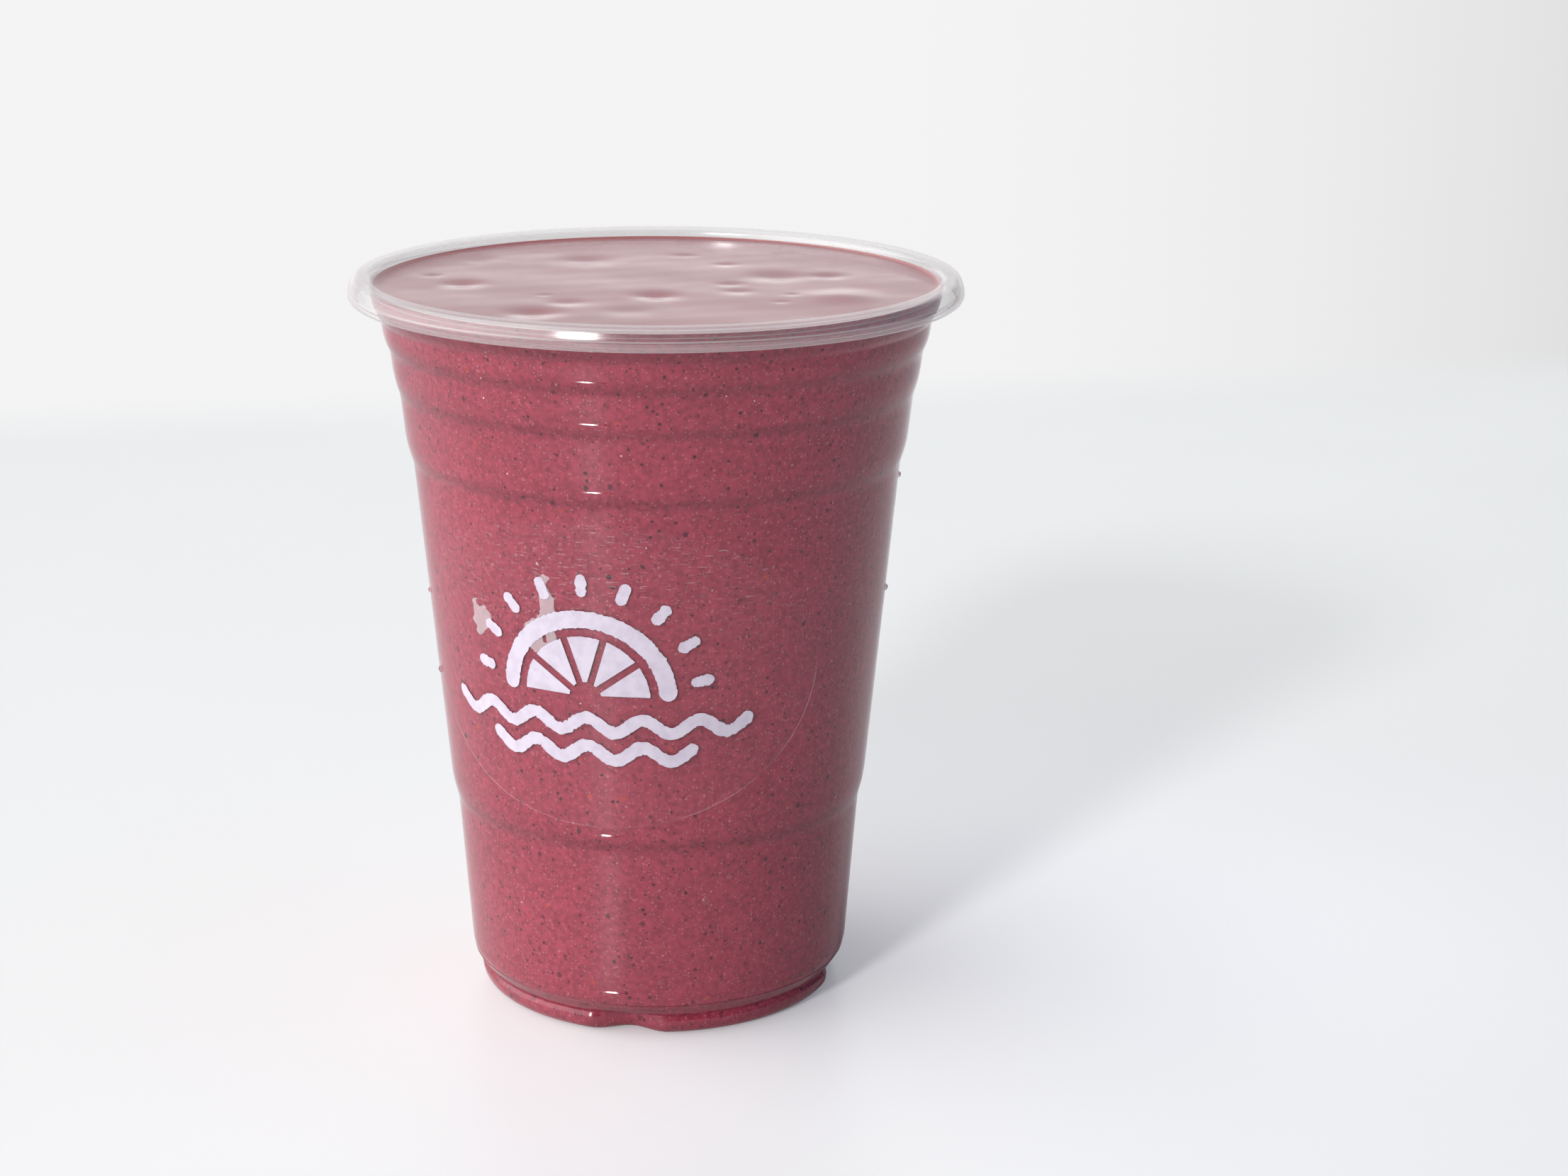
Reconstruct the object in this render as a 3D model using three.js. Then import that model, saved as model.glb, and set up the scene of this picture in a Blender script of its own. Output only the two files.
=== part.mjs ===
// A berry smoothie in its clear disposable cup, with a clear oval label on the cup's front.
//
// Millimetres, +Z up. The cup stands on z = 0 with its axis on Z and the label towards -Y.
// An azimuth is measured from -Y towards +X.

import * as THREE from 'three';
import { mergeVertices } from 'three/addons/utils/BufferGeometryUtils.js';

// Cup: a thin formed sheet with a rolled rim
const RIM_RADIUS = 47.5;
const CUP_HEIGHT = 115.2;
const SHEET = 0.6;
const SIDES = 64;

// Foot: a standing ring round a raised base
const BASE_RISE = 2.6;
const BASE_RADIUS = 20.4;
const RING_INNER_RADIUS = 23.0;
const RING_OUTER_RADIUS = 26.4;
const FOOT_RADIUS = 29.0;
const FOOT_ROUND_HEIGHT = 2.6;
const FOOT_TOP_RADIUS = 29.45;
const FOOT_TOP_Z = 4.4;
const FOOT_STEPS = 3;

// Body: conical bands, from the lowest up, each set out from the one below over a short steeper ramp
const BANDS = {
  lower: { baseRadius: 30.35, baseZ: 5.9, topRadius: 32.27, topZ: 31.4 },
  panel: { baseRadius: 33.12, baseZ: 34.1, topRadius: 38.08, topZ: 86.4 },
  third: { baseRadius: 39.02, baseZ: 88.9, topRadius: 39.9, topZ: 97.1 },
  second: { baseRadius: 40.78, baseZ: 99.6, topRadius: 41.32, topZ: 104.1 },
  top: { baseRadius: 42.25, baseZ: 105.9, topRadius: 42.55, topZ: 108.8 },
};

// Rim: the sheet flares out, then rolls over and under into an open curl
const CURL_WIDTH = 3.9;
const CURL_HEIGHT = 3.6;
const CURL_END_ANGLE = THREE.MathUtils.degToRad(-105);
const CURL_STEPS = 8;
const FLARE_STEPS = 3;

// Flutes: upright hollows pressed into the foot
const FLUTE_COUNT = 4;
const FLUTE_AZIMUTH = THREE.MathUtils.degToRad(-10);
const FLUTE_HALF_ANGLE = THREE.MathUtils.degToRad(13);
const FLUTE_DEPTH = 2.4;
const FLUTE_FULL_Z = 2.4;
const FLUTE_FADE_RADII = [15, 22];

// Smoothie: it fills the cup to the brim, climbs a little at the wall and is dented by burst bubbles
const CLEARANCE = 0.3;
const BRIM_Z = 114.1;
const MENISCUS_RISE = 0.6;
const MENISCUS_WIDTH = 3.0;
const SURFACE_RINGS = 13;
const DENT_FADE = 5.0;
const DENTS = [
  { x: -18.1, y: -25.2, spread: 3.4, depth: 0.9 },
  { x: -0.2, y: -11.2, spread: 3.0, depth: 0.8 },
  { x: -29.9, y: -0.9, spread: 2.9, depth: 0.7 },
  { x: 18.6, y: 6.0, spread: 4.2, depth: 0.7 },
  { x: 26.7, y: 6.4, spread: 2.5, depth: 0.5 },
  { x: 11.6, y: -4.2, spread: 2.6, depth: 0.4 },
  { x: -11.7, y: 20.9, spread: 4.0, depth: 0.6 },
  { x: 27.9, y: -11.8, spread: 4.6, depth: -0.7 },
];

// Label: a thin oval film on the panel band
const LABEL_WIDTH = 72.8;
const LABEL_HEIGHT = 48.6;
const LABEL_AZIMUTH = THREE.MathUtils.degToRad(-16.3);
const LABEL_CENTRE_Z = 60.1;
const LABEL_FILM = 0.25;
const LABEL_GAP = 0.2;
const LABEL_COLUMNS = 32;
const LABEL_END_SHARE = 0.97;

const WELD_DISTANCE = 1e-4;

// The depth of the flutes in the foot at an azimuth.
function fluteDepth(azimuth) {
  const spacing = 2 * Math.PI / FLUTE_COUNT;
  const turn = azimuth - FLUTE_AZIMUTH;
  const aside = Math.abs(turn - spacing * Math.round(turn / spacing)) / FLUTE_HALF_ANGLE;
  return aside < 1 ? FLUTE_DEPTH * (1 + Math.cos(Math.PI * aside)) / 2 : 0;
}

// The cup's outer skin at an azimuth, from the centre of its underside to the end of the curl,
// as radius and height.
function sheetProfile(azimuth) {
  const points = [new THREE.Vector2(0, BASE_RISE)];
  const lineTo = (radius, z) => points.push(new THREE.Vector2(radius, z));
  const follow = (curve, steps) => points.push(...curve.getPoints(steps).slice(1));
  const roundTo = (cornerRadius, cornerZ, radius, z, steps) => follow(new THREE.QuadraticBezierCurve(
    points.at(-1), new THREE.Vector2(cornerRadius, cornerZ), new THREE.Vector2(radius, z)), steps);

  lineTo(BASE_RADIUS, BASE_RISE);
  lineTo(RING_INNER_RADIUS, 0);
  lineTo(RING_OUTER_RADIUS, 0);
  roundTo(FOOT_RADIUS, 0, FOOT_RADIUS, FOOT_ROUND_HEIGHT, FOOT_STEPS);
  follow(new THREE.LineCurve(points.at(-1), new THREE.Vector2(FOOT_TOP_RADIUS, FOOT_TOP_Z)), FOOT_STEPS);

  for (const band of Object.values(BANDS)) {
    lineTo(band.baseRadius, band.baseZ);
    lineTo(band.topRadius, band.topZ);
  }

  const curl = {
    across: CURL_WIDTH / 2 - SHEET,
    up: CURL_HEIGHT / 2 - SHEET,
    radius: RIM_RADIUS - CURL_WIDTH / 2,
    z: CUP_HEIGHT - CURL_HEIGHT / 2,
  };
  const flareRadius = curl.radius - curl.across;
  roundTo(flareRadius, (points.at(-1).y + curl.z) / 2, flareRadius, curl.z, FLARE_STEPS);
  follow(new THREE.EllipseCurve(
    curl.radius, curl.z, curl.across, curl.up, Math.PI, CURL_END_ANGLE, true), CURL_STEPS);

  const depth = fluteDepth(azimuth);
  for (const point of points) {
    const low = 1 - THREE.MathUtils.smoothstep(point.y, FLUTE_FULL_Z, FOOT_TOP_Z);
    point.x -= depth * low * THREE.MathUtils.smoothstep(point.x, ...FLUTE_FADE_RADII);
  }
  return points;
}

// A copy of a profile moved to its left, towards the inside of the cup, with its corners mitred.
function offsetProfile(points, distance) {
  const normals = points.slice(1).map((point, i) => {
    const along = point.clone().sub(points[i]).normalize();
    return new THREE.Vector2(-along.y, along.x);
  });
  return points.map((point, i) => {
    const before = normals[Math.max(i - 1, 0)];
    const after = normals[Math.min(i, normals.length - 1)];
    const mitre = before.clone().add(after).normalize();
    return point.clone().addScaledVector(mitre, distance / mitre.dot(before));
  });
}

// The part of a rising profile below a height, ending in the point where it reaches that height.
function cutProfile(points, z) {
  const above = points.findIndex((point) => point.y > z);
  const below = points[above - 1];
  const share = (z - below.y) / (points[above].y - below.y);
  return [...points.slice(0, above), below.clone().lerp(points[above], share)];
}

// One closed surface: points at one place become one, and triangles with no area go.
function weld(geometry) {
  geometry.deleteAttribute('normal');
  geometry.deleteAttribute('uv');
  const welded = mergeVertices(geometry, WELD_DISTANCE);
  const corners = welded.index.array;
  const kept = [];
  for (let i = 0; i < corners.length; i += 3) {
    const [a, b, c] = corners.slice(i, i + 3);
    if (a !== b && b !== c && c !== a) {
      kept.push(a, b, c);
    }
  }
  welded.setIndex(kept);
  welded.computeVertexNormals();
  return welded;
}

// A solid round Z with a profile of its own, from axis to axis, at each azimuth.
function revolve(profileAt) {
  const lathe = new THREE.LatheGeometry(profileAt(0), SIDES);
  const position = lathe.attributes.position;
  for (let side = 0, i = 0; side <= SIDES; side += 1) {
    const azimuth = 2 * Math.PI * side / SIDES;
    for (const { x: radius, y: z } of profileAt(azimuth)) {
      position.setXYZ(i, radius * Math.sin(azimuth), -radius * Math.cos(azimuth), z);
      i += 1;
    }
  }
  return weld(lathe);
}

// Moves each vertex of a geometry by a function that changes the vector it is given.
function reshape(geometry, move) {
  const position = geometry.attributes.position;
  const vertex = new THREE.Vector3();
  for (let i = 0; i < position.count; i += 1) {
    move(vertex.fromBufferAttribute(position, i));
    position.setXYZ(i, vertex.x, vertex.y, vertex.z);
  }
  geometry.computeVertexNormals();
  return geometry;
}

function cupGeometry() {
  return revolve((azimuth) => {
    const outerSkin = sheetProfile(azimuth);
    return [...outerSkin, ...offsetProfile(outerSkin, SHEET).reverse()];
  });
}

// Height of the drink's surface at a distance from the axis, with its rise at the wall.
function surfaceHeight(radius, brimRadius) {
  const reach = (brimRadius - radius) / MENISCUS_WIDTH;
  return BRIM_Z - MENISCUS_RISE * (1 - Math.exp(-reach * reach));
}

// The depth of the dents together at a place on the drink's surface.
function dentDepth(x, y) {
  return DENTS.reduce((sum, dent) => {
    const away = Math.hypot(x - dent.x, y - dent.y) / dent.spread;
    return sum + dent.depth * Math.exp(-away * away);
  }, 0);
}

function smoothieGeometry() {
  const sideAt = (azimuth) => cutProfile(offsetProfile(sheetProfile(azimuth), SHEET + CLEARANCE), BRIM_Z);
  const brimRadius = sideAt(0).at(-1).x;
  const surfaceAt = (azimuth) => Array.from({ length: SURFACE_RINGS }, (_, ring) => {
    const radius = brimRadius * (1 - (ring + 1) / SURFACE_RINGS);
    const fade = THREE.MathUtils.smoothstep(brimRadius - radius, 0, DENT_FADE);
    const depth = fade * dentDepth(radius * Math.sin(azimuth), -radius * Math.cos(azimuth));
    return new THREE.Vector2(radius, surfaceHeight(radius, brimRadius) - depth);
  });
  return revolve((azimuth) => [...sideAt(azimuth), ...surfaceAt(azimuth)]);
}

// A flat sheet of columns, each cut to the oval's height there and wrapped round the panel band.
function labelGeometry() {
  const { baseRadius, baseZ, topRadius, topZ } = BANDS.panel;
  const taper = Math.atan2(topRadius - baseRadius, topZ - baseZ);
  const panelRadius = (z) => THREE.MathUtils.mapLinear(z, baseZ, topZ, baseRadius, topRadius);
  const middleRadius = panelRadius(LABEL_CENTRE_Z);

  const wrap = (vertex) => {
    const turn = vertex.x * LABEL_END_SHARE * Math.PI / 2;
    const along = Math.sin(turn) * LABEL_WIDTH / 2;
    const up = vertex.y * Math.cos(turn) * LABEL_HEIGHT / 2;
    const z = LABEL_CENTRE_Z + up * Math.cos(taper);
    const outwards = LABEL_GAP + (vertex.z > 0 ? LABEL_FILM : 0);
    const radius = panelRadius(z) + outwards / Math.cos(taper);
    const azimuth = LABEL_AZIMUTH + along / middleRadius;
    vertex.set(radius * Math.sin(azimuth), -radius * Math.cos(azimuth), z);
  };
  return reshape(weld(new THREE.BoxGeometry(2, 2, 1, LABEL_COLUMNS)), wrap);
}

function piece(name, geometry, finish) {
  const mesh = new THREE.Mesh(geometry, new THREE.MeshStandardMaterial(finish));
  mesh.name = name;
  return mesh;
}

const berrySmoothie = new THREE.Group();
berrySmoothie.add(
  piece('cup', cupGeometry(), {
    color: 0xf1ecee, roughness: 0.06, metalness: 0, transparent: true, opacity: 0.3,
  }),
  piece('smoothie', smoothieGeometry(), { color: 0xa75c67, roughness: 0.35, metalness: 0 }),
  piece('label', labelGeometry(), {
    color: 0xf6f1f4, roughness: 0.2, metalness: 0, transparent: true, opacity: 0.25,
  }),
);

export default berrySmoothie;
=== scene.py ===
"""A berry smoothie in its clear disposable cup, dressed for a studio picture.

Lengths are in millimetres until a mesh, a light or the camera is made. +Z is up and the front,
with the label, is towards -Y. An azimuth is measured from -Y towards +X.
"""

import logging
import math
from dataclasses import dataclass, field
from enum import Enum
from typing import Sequence, Union

import bpy
import numpy as np
from mathutils import Matrix, Vector


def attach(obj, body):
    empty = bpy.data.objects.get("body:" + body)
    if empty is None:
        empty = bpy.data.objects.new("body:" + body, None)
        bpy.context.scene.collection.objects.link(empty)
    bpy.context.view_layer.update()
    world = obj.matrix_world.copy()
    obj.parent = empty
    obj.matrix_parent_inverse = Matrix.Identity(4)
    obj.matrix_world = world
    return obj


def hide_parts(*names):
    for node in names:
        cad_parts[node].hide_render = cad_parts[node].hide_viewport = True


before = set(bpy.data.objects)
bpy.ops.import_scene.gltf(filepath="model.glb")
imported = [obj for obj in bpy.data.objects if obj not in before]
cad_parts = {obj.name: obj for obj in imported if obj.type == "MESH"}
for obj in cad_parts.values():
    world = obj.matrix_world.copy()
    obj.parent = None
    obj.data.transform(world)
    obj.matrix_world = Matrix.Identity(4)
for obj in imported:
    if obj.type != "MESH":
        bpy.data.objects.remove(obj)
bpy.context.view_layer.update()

LOG = logging.getLogger("berry_smoothie")
MM = 0.001
BODY = "root"

Colour = tuple[float, float, float]
Socket = bpy.types.NodeSocket
Wire = Union[Socket, float, int, tuple]
Faces = list[tuple[int, ...]]


class CadNode(str, Enum):
    """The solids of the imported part."""

    CUP = "cup"
    SMOOTHIE = "smoothie"
    LABEL = "label"


class Slot(str, Enum):
    """The record's material slots."""

    CLEAR_PLASTIC = "clear_plastic"
    SMOOTHIE = "smoothie"
    LABEL_FILM = "label_film"


def smoothstep(values: np.ndarray, low: float, high: float) -> np.ndarray:
    """Eases values from 0 at low to 1 at high.

    Args:
        values: Numbers to ease.
        low: Where the result leaves 0.
        high: Where the result reaches 1.

    Returns:
        The eased numbers, from 0 to 1.
    """
    share = np.clip((values - low) / (high - low), 0.0, 1.0)
    return share * share * (3.0 - 2.0 * share)


def opaque(colour: Colour) -> tuple[float, float, float, float]:
    """A colour with full alpha, as a colour socket takes it."""
    return (*colour, 1.0)


@dataclass(frozen=True)
class Grain:
    """A kind of small round fleck: its spacing, its radius and the share of places that hold one."""

    cell: float
    radius: float
    share: float


class NodeBench:
    """A node tree with short calls that add nodes and wire them."""

    grain_edge: tuple[float, float] = (1.25, 0.6)
    grain_strength: tuple[float, float] = (0.4, 0.6)

    def __init__(self, tree: bpy.types.NodeTree) -> None:
        """Works on a tree, which keeps the nodes that it already has."""
        self.tree = tree

    def add(self, kind: str, wires: dict[Union[str, int], Wire] | None = None, **settings) -> bpy.types.Node:
        """Adds one node.

        Args:
            kind: The node's type name.
            wires: For each input, the socket that feeds it or its constant value.
            **settings: The node's own properties.

        Returns:
            The new node.
        """
        node = self.tree.nodes.new(kind)
        for name, value in settings.items():
            setattr(node, name, value)
        for key, value in (wires or {}).items():
            if isinstance(value, bpy.types.NodeSocket):
                self.tree.links.new(value, node.inputs[key])
            else:
                node.inputs[key].default_value = value
        return node

    def math(self, operation: str, *values: Wire, clamp: bool = False) -> Socket:
        """The result of a Math node on the values."""
        wires = dict(enumerate(values))
        return self.add("ShaderNodeMath", wires, operation=operation, use_clamp=clamp).outputs[0]

    def vector(self, operation: str, *values: Wire, output: str = "Vector") -> Socket:
        """The result of a Vector Math node on the values."""
        return self.add("ShaderNodeVectorMath", dict(enumerate(values)), operation=operation).outputs[output]

    def scale(self, colour: Wire, factor: Wire) -> Socket:
        """A colour or vector times a number."""
        wires = {0: colour, "Scale": factor}
        return self.add("ShaderNodeVectorMath", wires, operation="SCALE").outputs["Vector"]

    def ease(self, value: Wire, low: float, high: float, start: float = 0.0, end: float = 1.0) -> Socket:
        """Eases a value between two limits.

        Args:
            value: The value to ease.
            low: Where the result is start; it may exceed high.
            high: Where the result is end.
            start: The result at low and beyond it.
            end: The result at high and beyond it.

        Returns:
            The eased value.
        """
        if low > high:
            low, high, start, end = high, low, end, start
        wires = {"Value": value, "From Min": low, "From Max": high, "To Min": start, "To Max": end}
        return self.add("ShaderNodeMapRange", wires, interpolation_type="SMOOTHSTEP").outputs["Result"]

    def mix(self, factor: Wire, first: Wire, second: Wire) -> Socket:
        """The colour between two colours."""
        return self.add("ShaderNodeMix", {0: factor, 6: first, 7: second}, data_type="RGBA").outputs[2]

    def blend(self, factor: Wire, first: Socket, second: Socket) -> Socket:
        """The shader between two shaders."""
        return self.add("ShaderNodeMixShader", {0: factor, 1: first, 2: second}).outputs[0]

    def hypotenuse(self, across: Wire, high: Wire) -> Socket:
        """The length of the longest side over two sides at a right angle."""
        squares = [self.math("POWER", side, 2.0) for side in (across, high)]
        return self.math("SQRT", self.math("ADD", *squares))

    def bump(self, height: Socket, depth: float, strength: float) -> Socket:
        """The normal of a surface with relief of a depth in millimetres."""
        wires = {"Strength": strength, "Distance": depth * MM, "Height": height}
        return self.add("ShaderNodeBump", wires).outputs[0]

    def place(self) -> Socket:
        """The point on the object, in metres in the shared frame."""
        return self.add("ShaderNodeTexCoord").outputs["Object"]

    def point(self) -> Sequence[Socket]:
        """The three coordinates of the point on the object."""
        return self.add("ShaderNodeSeparateXYZ", {0: self.place()}).outputs

    def noise(self, vector: Wire, period: float, detail: float = 2.0) -> Socket:
        """Smooth noise, from 0 to 1, whose features are about a period in millimetres wide."""
        wires = {"Vector": vector, "Scale": 1.0 / (period * MM), "Detail": detail}
        return self.add("ShaderNodeTexNoise", wires).outputs[0]

    def mottle(self, period: float, start: float = 0.0, end: float = 1.0, detail: float = 2.0,
               spread: tuple[float, float] = (0.3, 0.7)) -> Socket:
        """Noise over the object, stretched so that it runs from start to end.

        Args:
            period: Width of its features in millimetres.
            start: The least result.
            end: The greatest result.
            detail: How many finer layers of noise it holds.
            spread: The noise that gives the least and the greatest result.

        Returns:
            The stretched noise.
        """
        return self.ease(self.noise(self.place(), period, detail), *spread, start, end)

    def grains(self, vector: Wire, grain: Grain) -> Socket:
        """A mask of scattered round grains.

        Args:
            vector: The point in metres.
            grain: Their kind.

        Returns:
            From 0 outside a grain to its own strength, at most 1, inside.
        """
        voronoi = self.add("ShaderNodeTexVoronoi", {"Vector": vector, "Scale": 1.0 / (grain.cell * MM)})
        edge = [share * grain.radius / grain.cell for share in self.grain_edge]
        inside = self.ease(voronoi.outputs["Distance"], *edge)
        draw = self.add("ShaderNodeSeparateColor", {0: voronoi.outputs["Color"]}).outputs
        present = self.math("MULTIPLY", inside, self.math("LESS_THAN", draw[0], grain.share))
        least, more = self.grain_strength
        return self.math("MULTIPLY", present, self.math("MULTIPLY_ADD", draw[1], more, least))

    def group(self, tree: bpy.types.NodeTree, wires: dict[str, Wire] | None = None) -> Sequence[Socket]:
        """The outputs of a node group, placed with its own input values."""
        return self.add("ShaderNodeGroup", wires, node_tree=tree).outputs


class EffectGroup:
    """A shader node group that several finishes share."""

    name: str = ""
    inputs: dict[str, str] = {}
    outputs: dict[str, str] = {}

    def tree(self) -> bpy.types.NodeTree:
        """The group's node tree, built on the first call.

        Returns:
            The tree, which every finish that uses the group shares.
        """
        if self.name in bpy.data.node_groups:
            return bpy.data.node_groups[self.name]
        tree = bpy.data.node_groups.new(self.name, "ShaderNodeTree")
        for title, kind in self.inputs.items():
            tree.interface.new_socket(name=title, in_out="INPUT", socket_type=kind)
        for title, kind in self.outputs.items():
            tree.interface.new_socket(name=title, in_out="OUTPUT", socket_type=kind)
        bench = NodeBench(tree)
        entry = bench.add("NodeGroupInput")
        results = self.wire(bench, {title: entry.outputs[title] for title in self.inputs})
        bench.add("NodeGroupOutput", results)
        return tree

    def wire(self, bench: NodeBench, given: dict[str, Socket]) -> dict[str, Socket]:
        """Builds the nodes inside the group.

        Args:
            bench: The bench on the group's tree.
            given: The group's inputs by name.

        Returns:
            The group's outputs by name.
        """
        raise NotImplementedError


class BerryFlecks(EffectGroup):
    """Fruit pulp: mottled, with dark seeds and skins, pale froth and red shreds in it, and painted glints."""

    name = "berry_flecks"
    inputs = {"Pulp": "NodeSocketColor", "Seeds": "NodeSocketFloat", "Froth": "NodeSocketFloat"}
    outputs = {"Color": "NodeSocketColor", "Grain": "NodeSocketFloat"}

    broad_period: float = 22.0
    broad_tone: tuple[float, float] = (0.95, 1.05)
    fine_period: float = 0.9
    fine_tone: tuple[float, float] = (-0.2, 0.2)
    wander_period: float = 0.7
    wander: float = 0.22
    bubbles: tuple[Grain, ...] = (Grain(0.5, 0.14, 0.55), Grain(1.3, 0.22, 0.3))
    froth_colour: Colour = (0.62, 0.30, 0.32)
    froth_strength: float = 0.42
    shreds: Grain = Grain(6.0, 0.45, 0.75)
    shred_colour: Colour = (0.50, 0.075, 0.035)
    shred_strength: float = 0.8
    seeds: tuple[Grain, ...] = (Grain(1.55, 0.28, 0.75), Grain(4.0, 0.46, 0.6))
    crumbs: Grain = Grain(0.95, 0.19, 0.55)
    crumb_share: float = 0.8
    seed_colour: Colour = (0.035, 0.012, 0.022)
    seed_strength: float = 0.95
    # Painted highlights: pale dots in the colour stand in for glints on tiny wet specks.
    glints: Grain = Grain(3.2, 0.12, 0.55)
    glint_colour: Colour = (0.95, 0.84, 0.80)
    glint_strength: float = 0.95

    def wire(self, bench: NodeBench, given: dict[str, Socket]) -> dict[str, Socket]:
        """Lays the pulp's tones and then each kind of fleck over it.

        Args:
            bench: The bench on the group's tree.
            given: The group's inputs by name.

        Returns:
            The group's outputs by name.
        """
        place = bench.place()
        wires = {"Vector": place, "Scale": 1.0 / (self.wander_period * MM), "Detail": 1.0}
        wandering = bench.add("ShaderNodeTexNoise", wires).outputs["Color"]
        ragged = bench.vector("MULTIPLY_ADD", wandering, (self.wander * MM,) * 3, place)
        broad = bench.mottle(self.broad_period, *self.broad_tone)
        fine = bench.mottle(self.fine_period, *self.fine_tone, detail=3.0)
        tone = bench.math("MULTIPLY", broad, bench.math("MULTIPLY_ADD", fine, given["Froth"], 1.0))

        froth = bench.math("MAXIMUM", *(bench.grains(ragged, grain) for grain in self.bubbles))
        seeds = bench.math("MAXIMUM", *(bench.grains(ragged, grain) for grain in self.seeds))
        crumbs = bench.math("MULTIPLY", bench.grains(ragged, self.crumbs), self.crumb_share)
        layers = (
            (bench.math("MULTIPLY", froth, given["Froth"]), self.froth_strength, self.froth_colour),
            (bench.grains(ragged, self.shreds), self.shred_strength, self.shred_colour),
            (bench.math("MULTIPLY", bench.math("MAXIMUM", seeds, crumbs), given["Seeds"]),
             self.seed_strength, self.seed_colour),
            # Painted glints, laid over everything else.
            (bench.math("MULTIPLY", bench.grains(place, self.glints), given["Froth"]),
             self.glint_strength, self.glint_colour),
        )
        colour = bench.scale(given["Pulp"], tone)
        for mask, strength, fleck in layers:
            colour = bench.mix(bench.math("MULTIPLY", mask, strength), colour, opaque(fleck))
        return {"Color": colour, "Grain": bench.noise(place, self.wander_period)}


class LabelOval(EffectGroup):
    """Where a point lies on the label: its place on the unrolled film and how far out it is."""

    name = "label_oval"
    outputs = {"Along": "NodeSocketFloat", "Up": "NodeSocketFloat", "Reach": "NodeSocketFloat"}

    def __init__(self, label: "LabelSizes") -> None:
        """Takes the label's sizes."""
        self.label = label

    def wire(self, bench: NodeBench, given: dict[str, Socket]) -> dict[str, Socket]:
        """Unrolls the wall about the label's centre, in millimetres.

        Args:
            bench: The bench on the group's tree.
            given: The group's inputs, of which there are none.

        Returns:
            The group's outputs by name.
        """
        point = bench.point()
        azimuth = bench.math("ARCTAN2", point[0], bench.math("MULTIPLY", point[1], -1.0))
        turn = bench.math("SUBTRACT", azimuth, self.label.azimuth)
        along = bench.math("MULTIPLY", turn, self.label.middle_radius)
        rise = bench.math("SUBTRACT", bench.math("DIVIDE", point[2], MM), self.label.centre_z)
        up = bench.math("DIVIDE", rise, math.cos(self.label.taper))
        across = bench.math("DIVIDE", along, self.label.width / 2)
        high = bench.math("DIVIDE", up, self.label.height / 2)
        return {"Along": along, "Up": up, "Reach": bench.hypotenuse(across, high)}


@dataclass(frozen=True)
class Band:
    """One conical band of the cup's wall."""

    base_radius: float
    base_z: float
    top_radius: float
    top_z: float


@dataclass(frozen=True)
class Ridge:
    """A fine raised line of the mould on the wall, straight above its crest and longer below it."""

    z: float
    out: float
    flank: float

    def shape(self, heights: np.ndarray) -> np.ndarray:
        """How far the ridge stands out at the heights."""
        marks = [self.z - 2 * self.flank, self.z, self.z + self.flank]
        return self.out * np.interp(heights, marks, [0.0, 1.0, 0.0])


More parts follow.
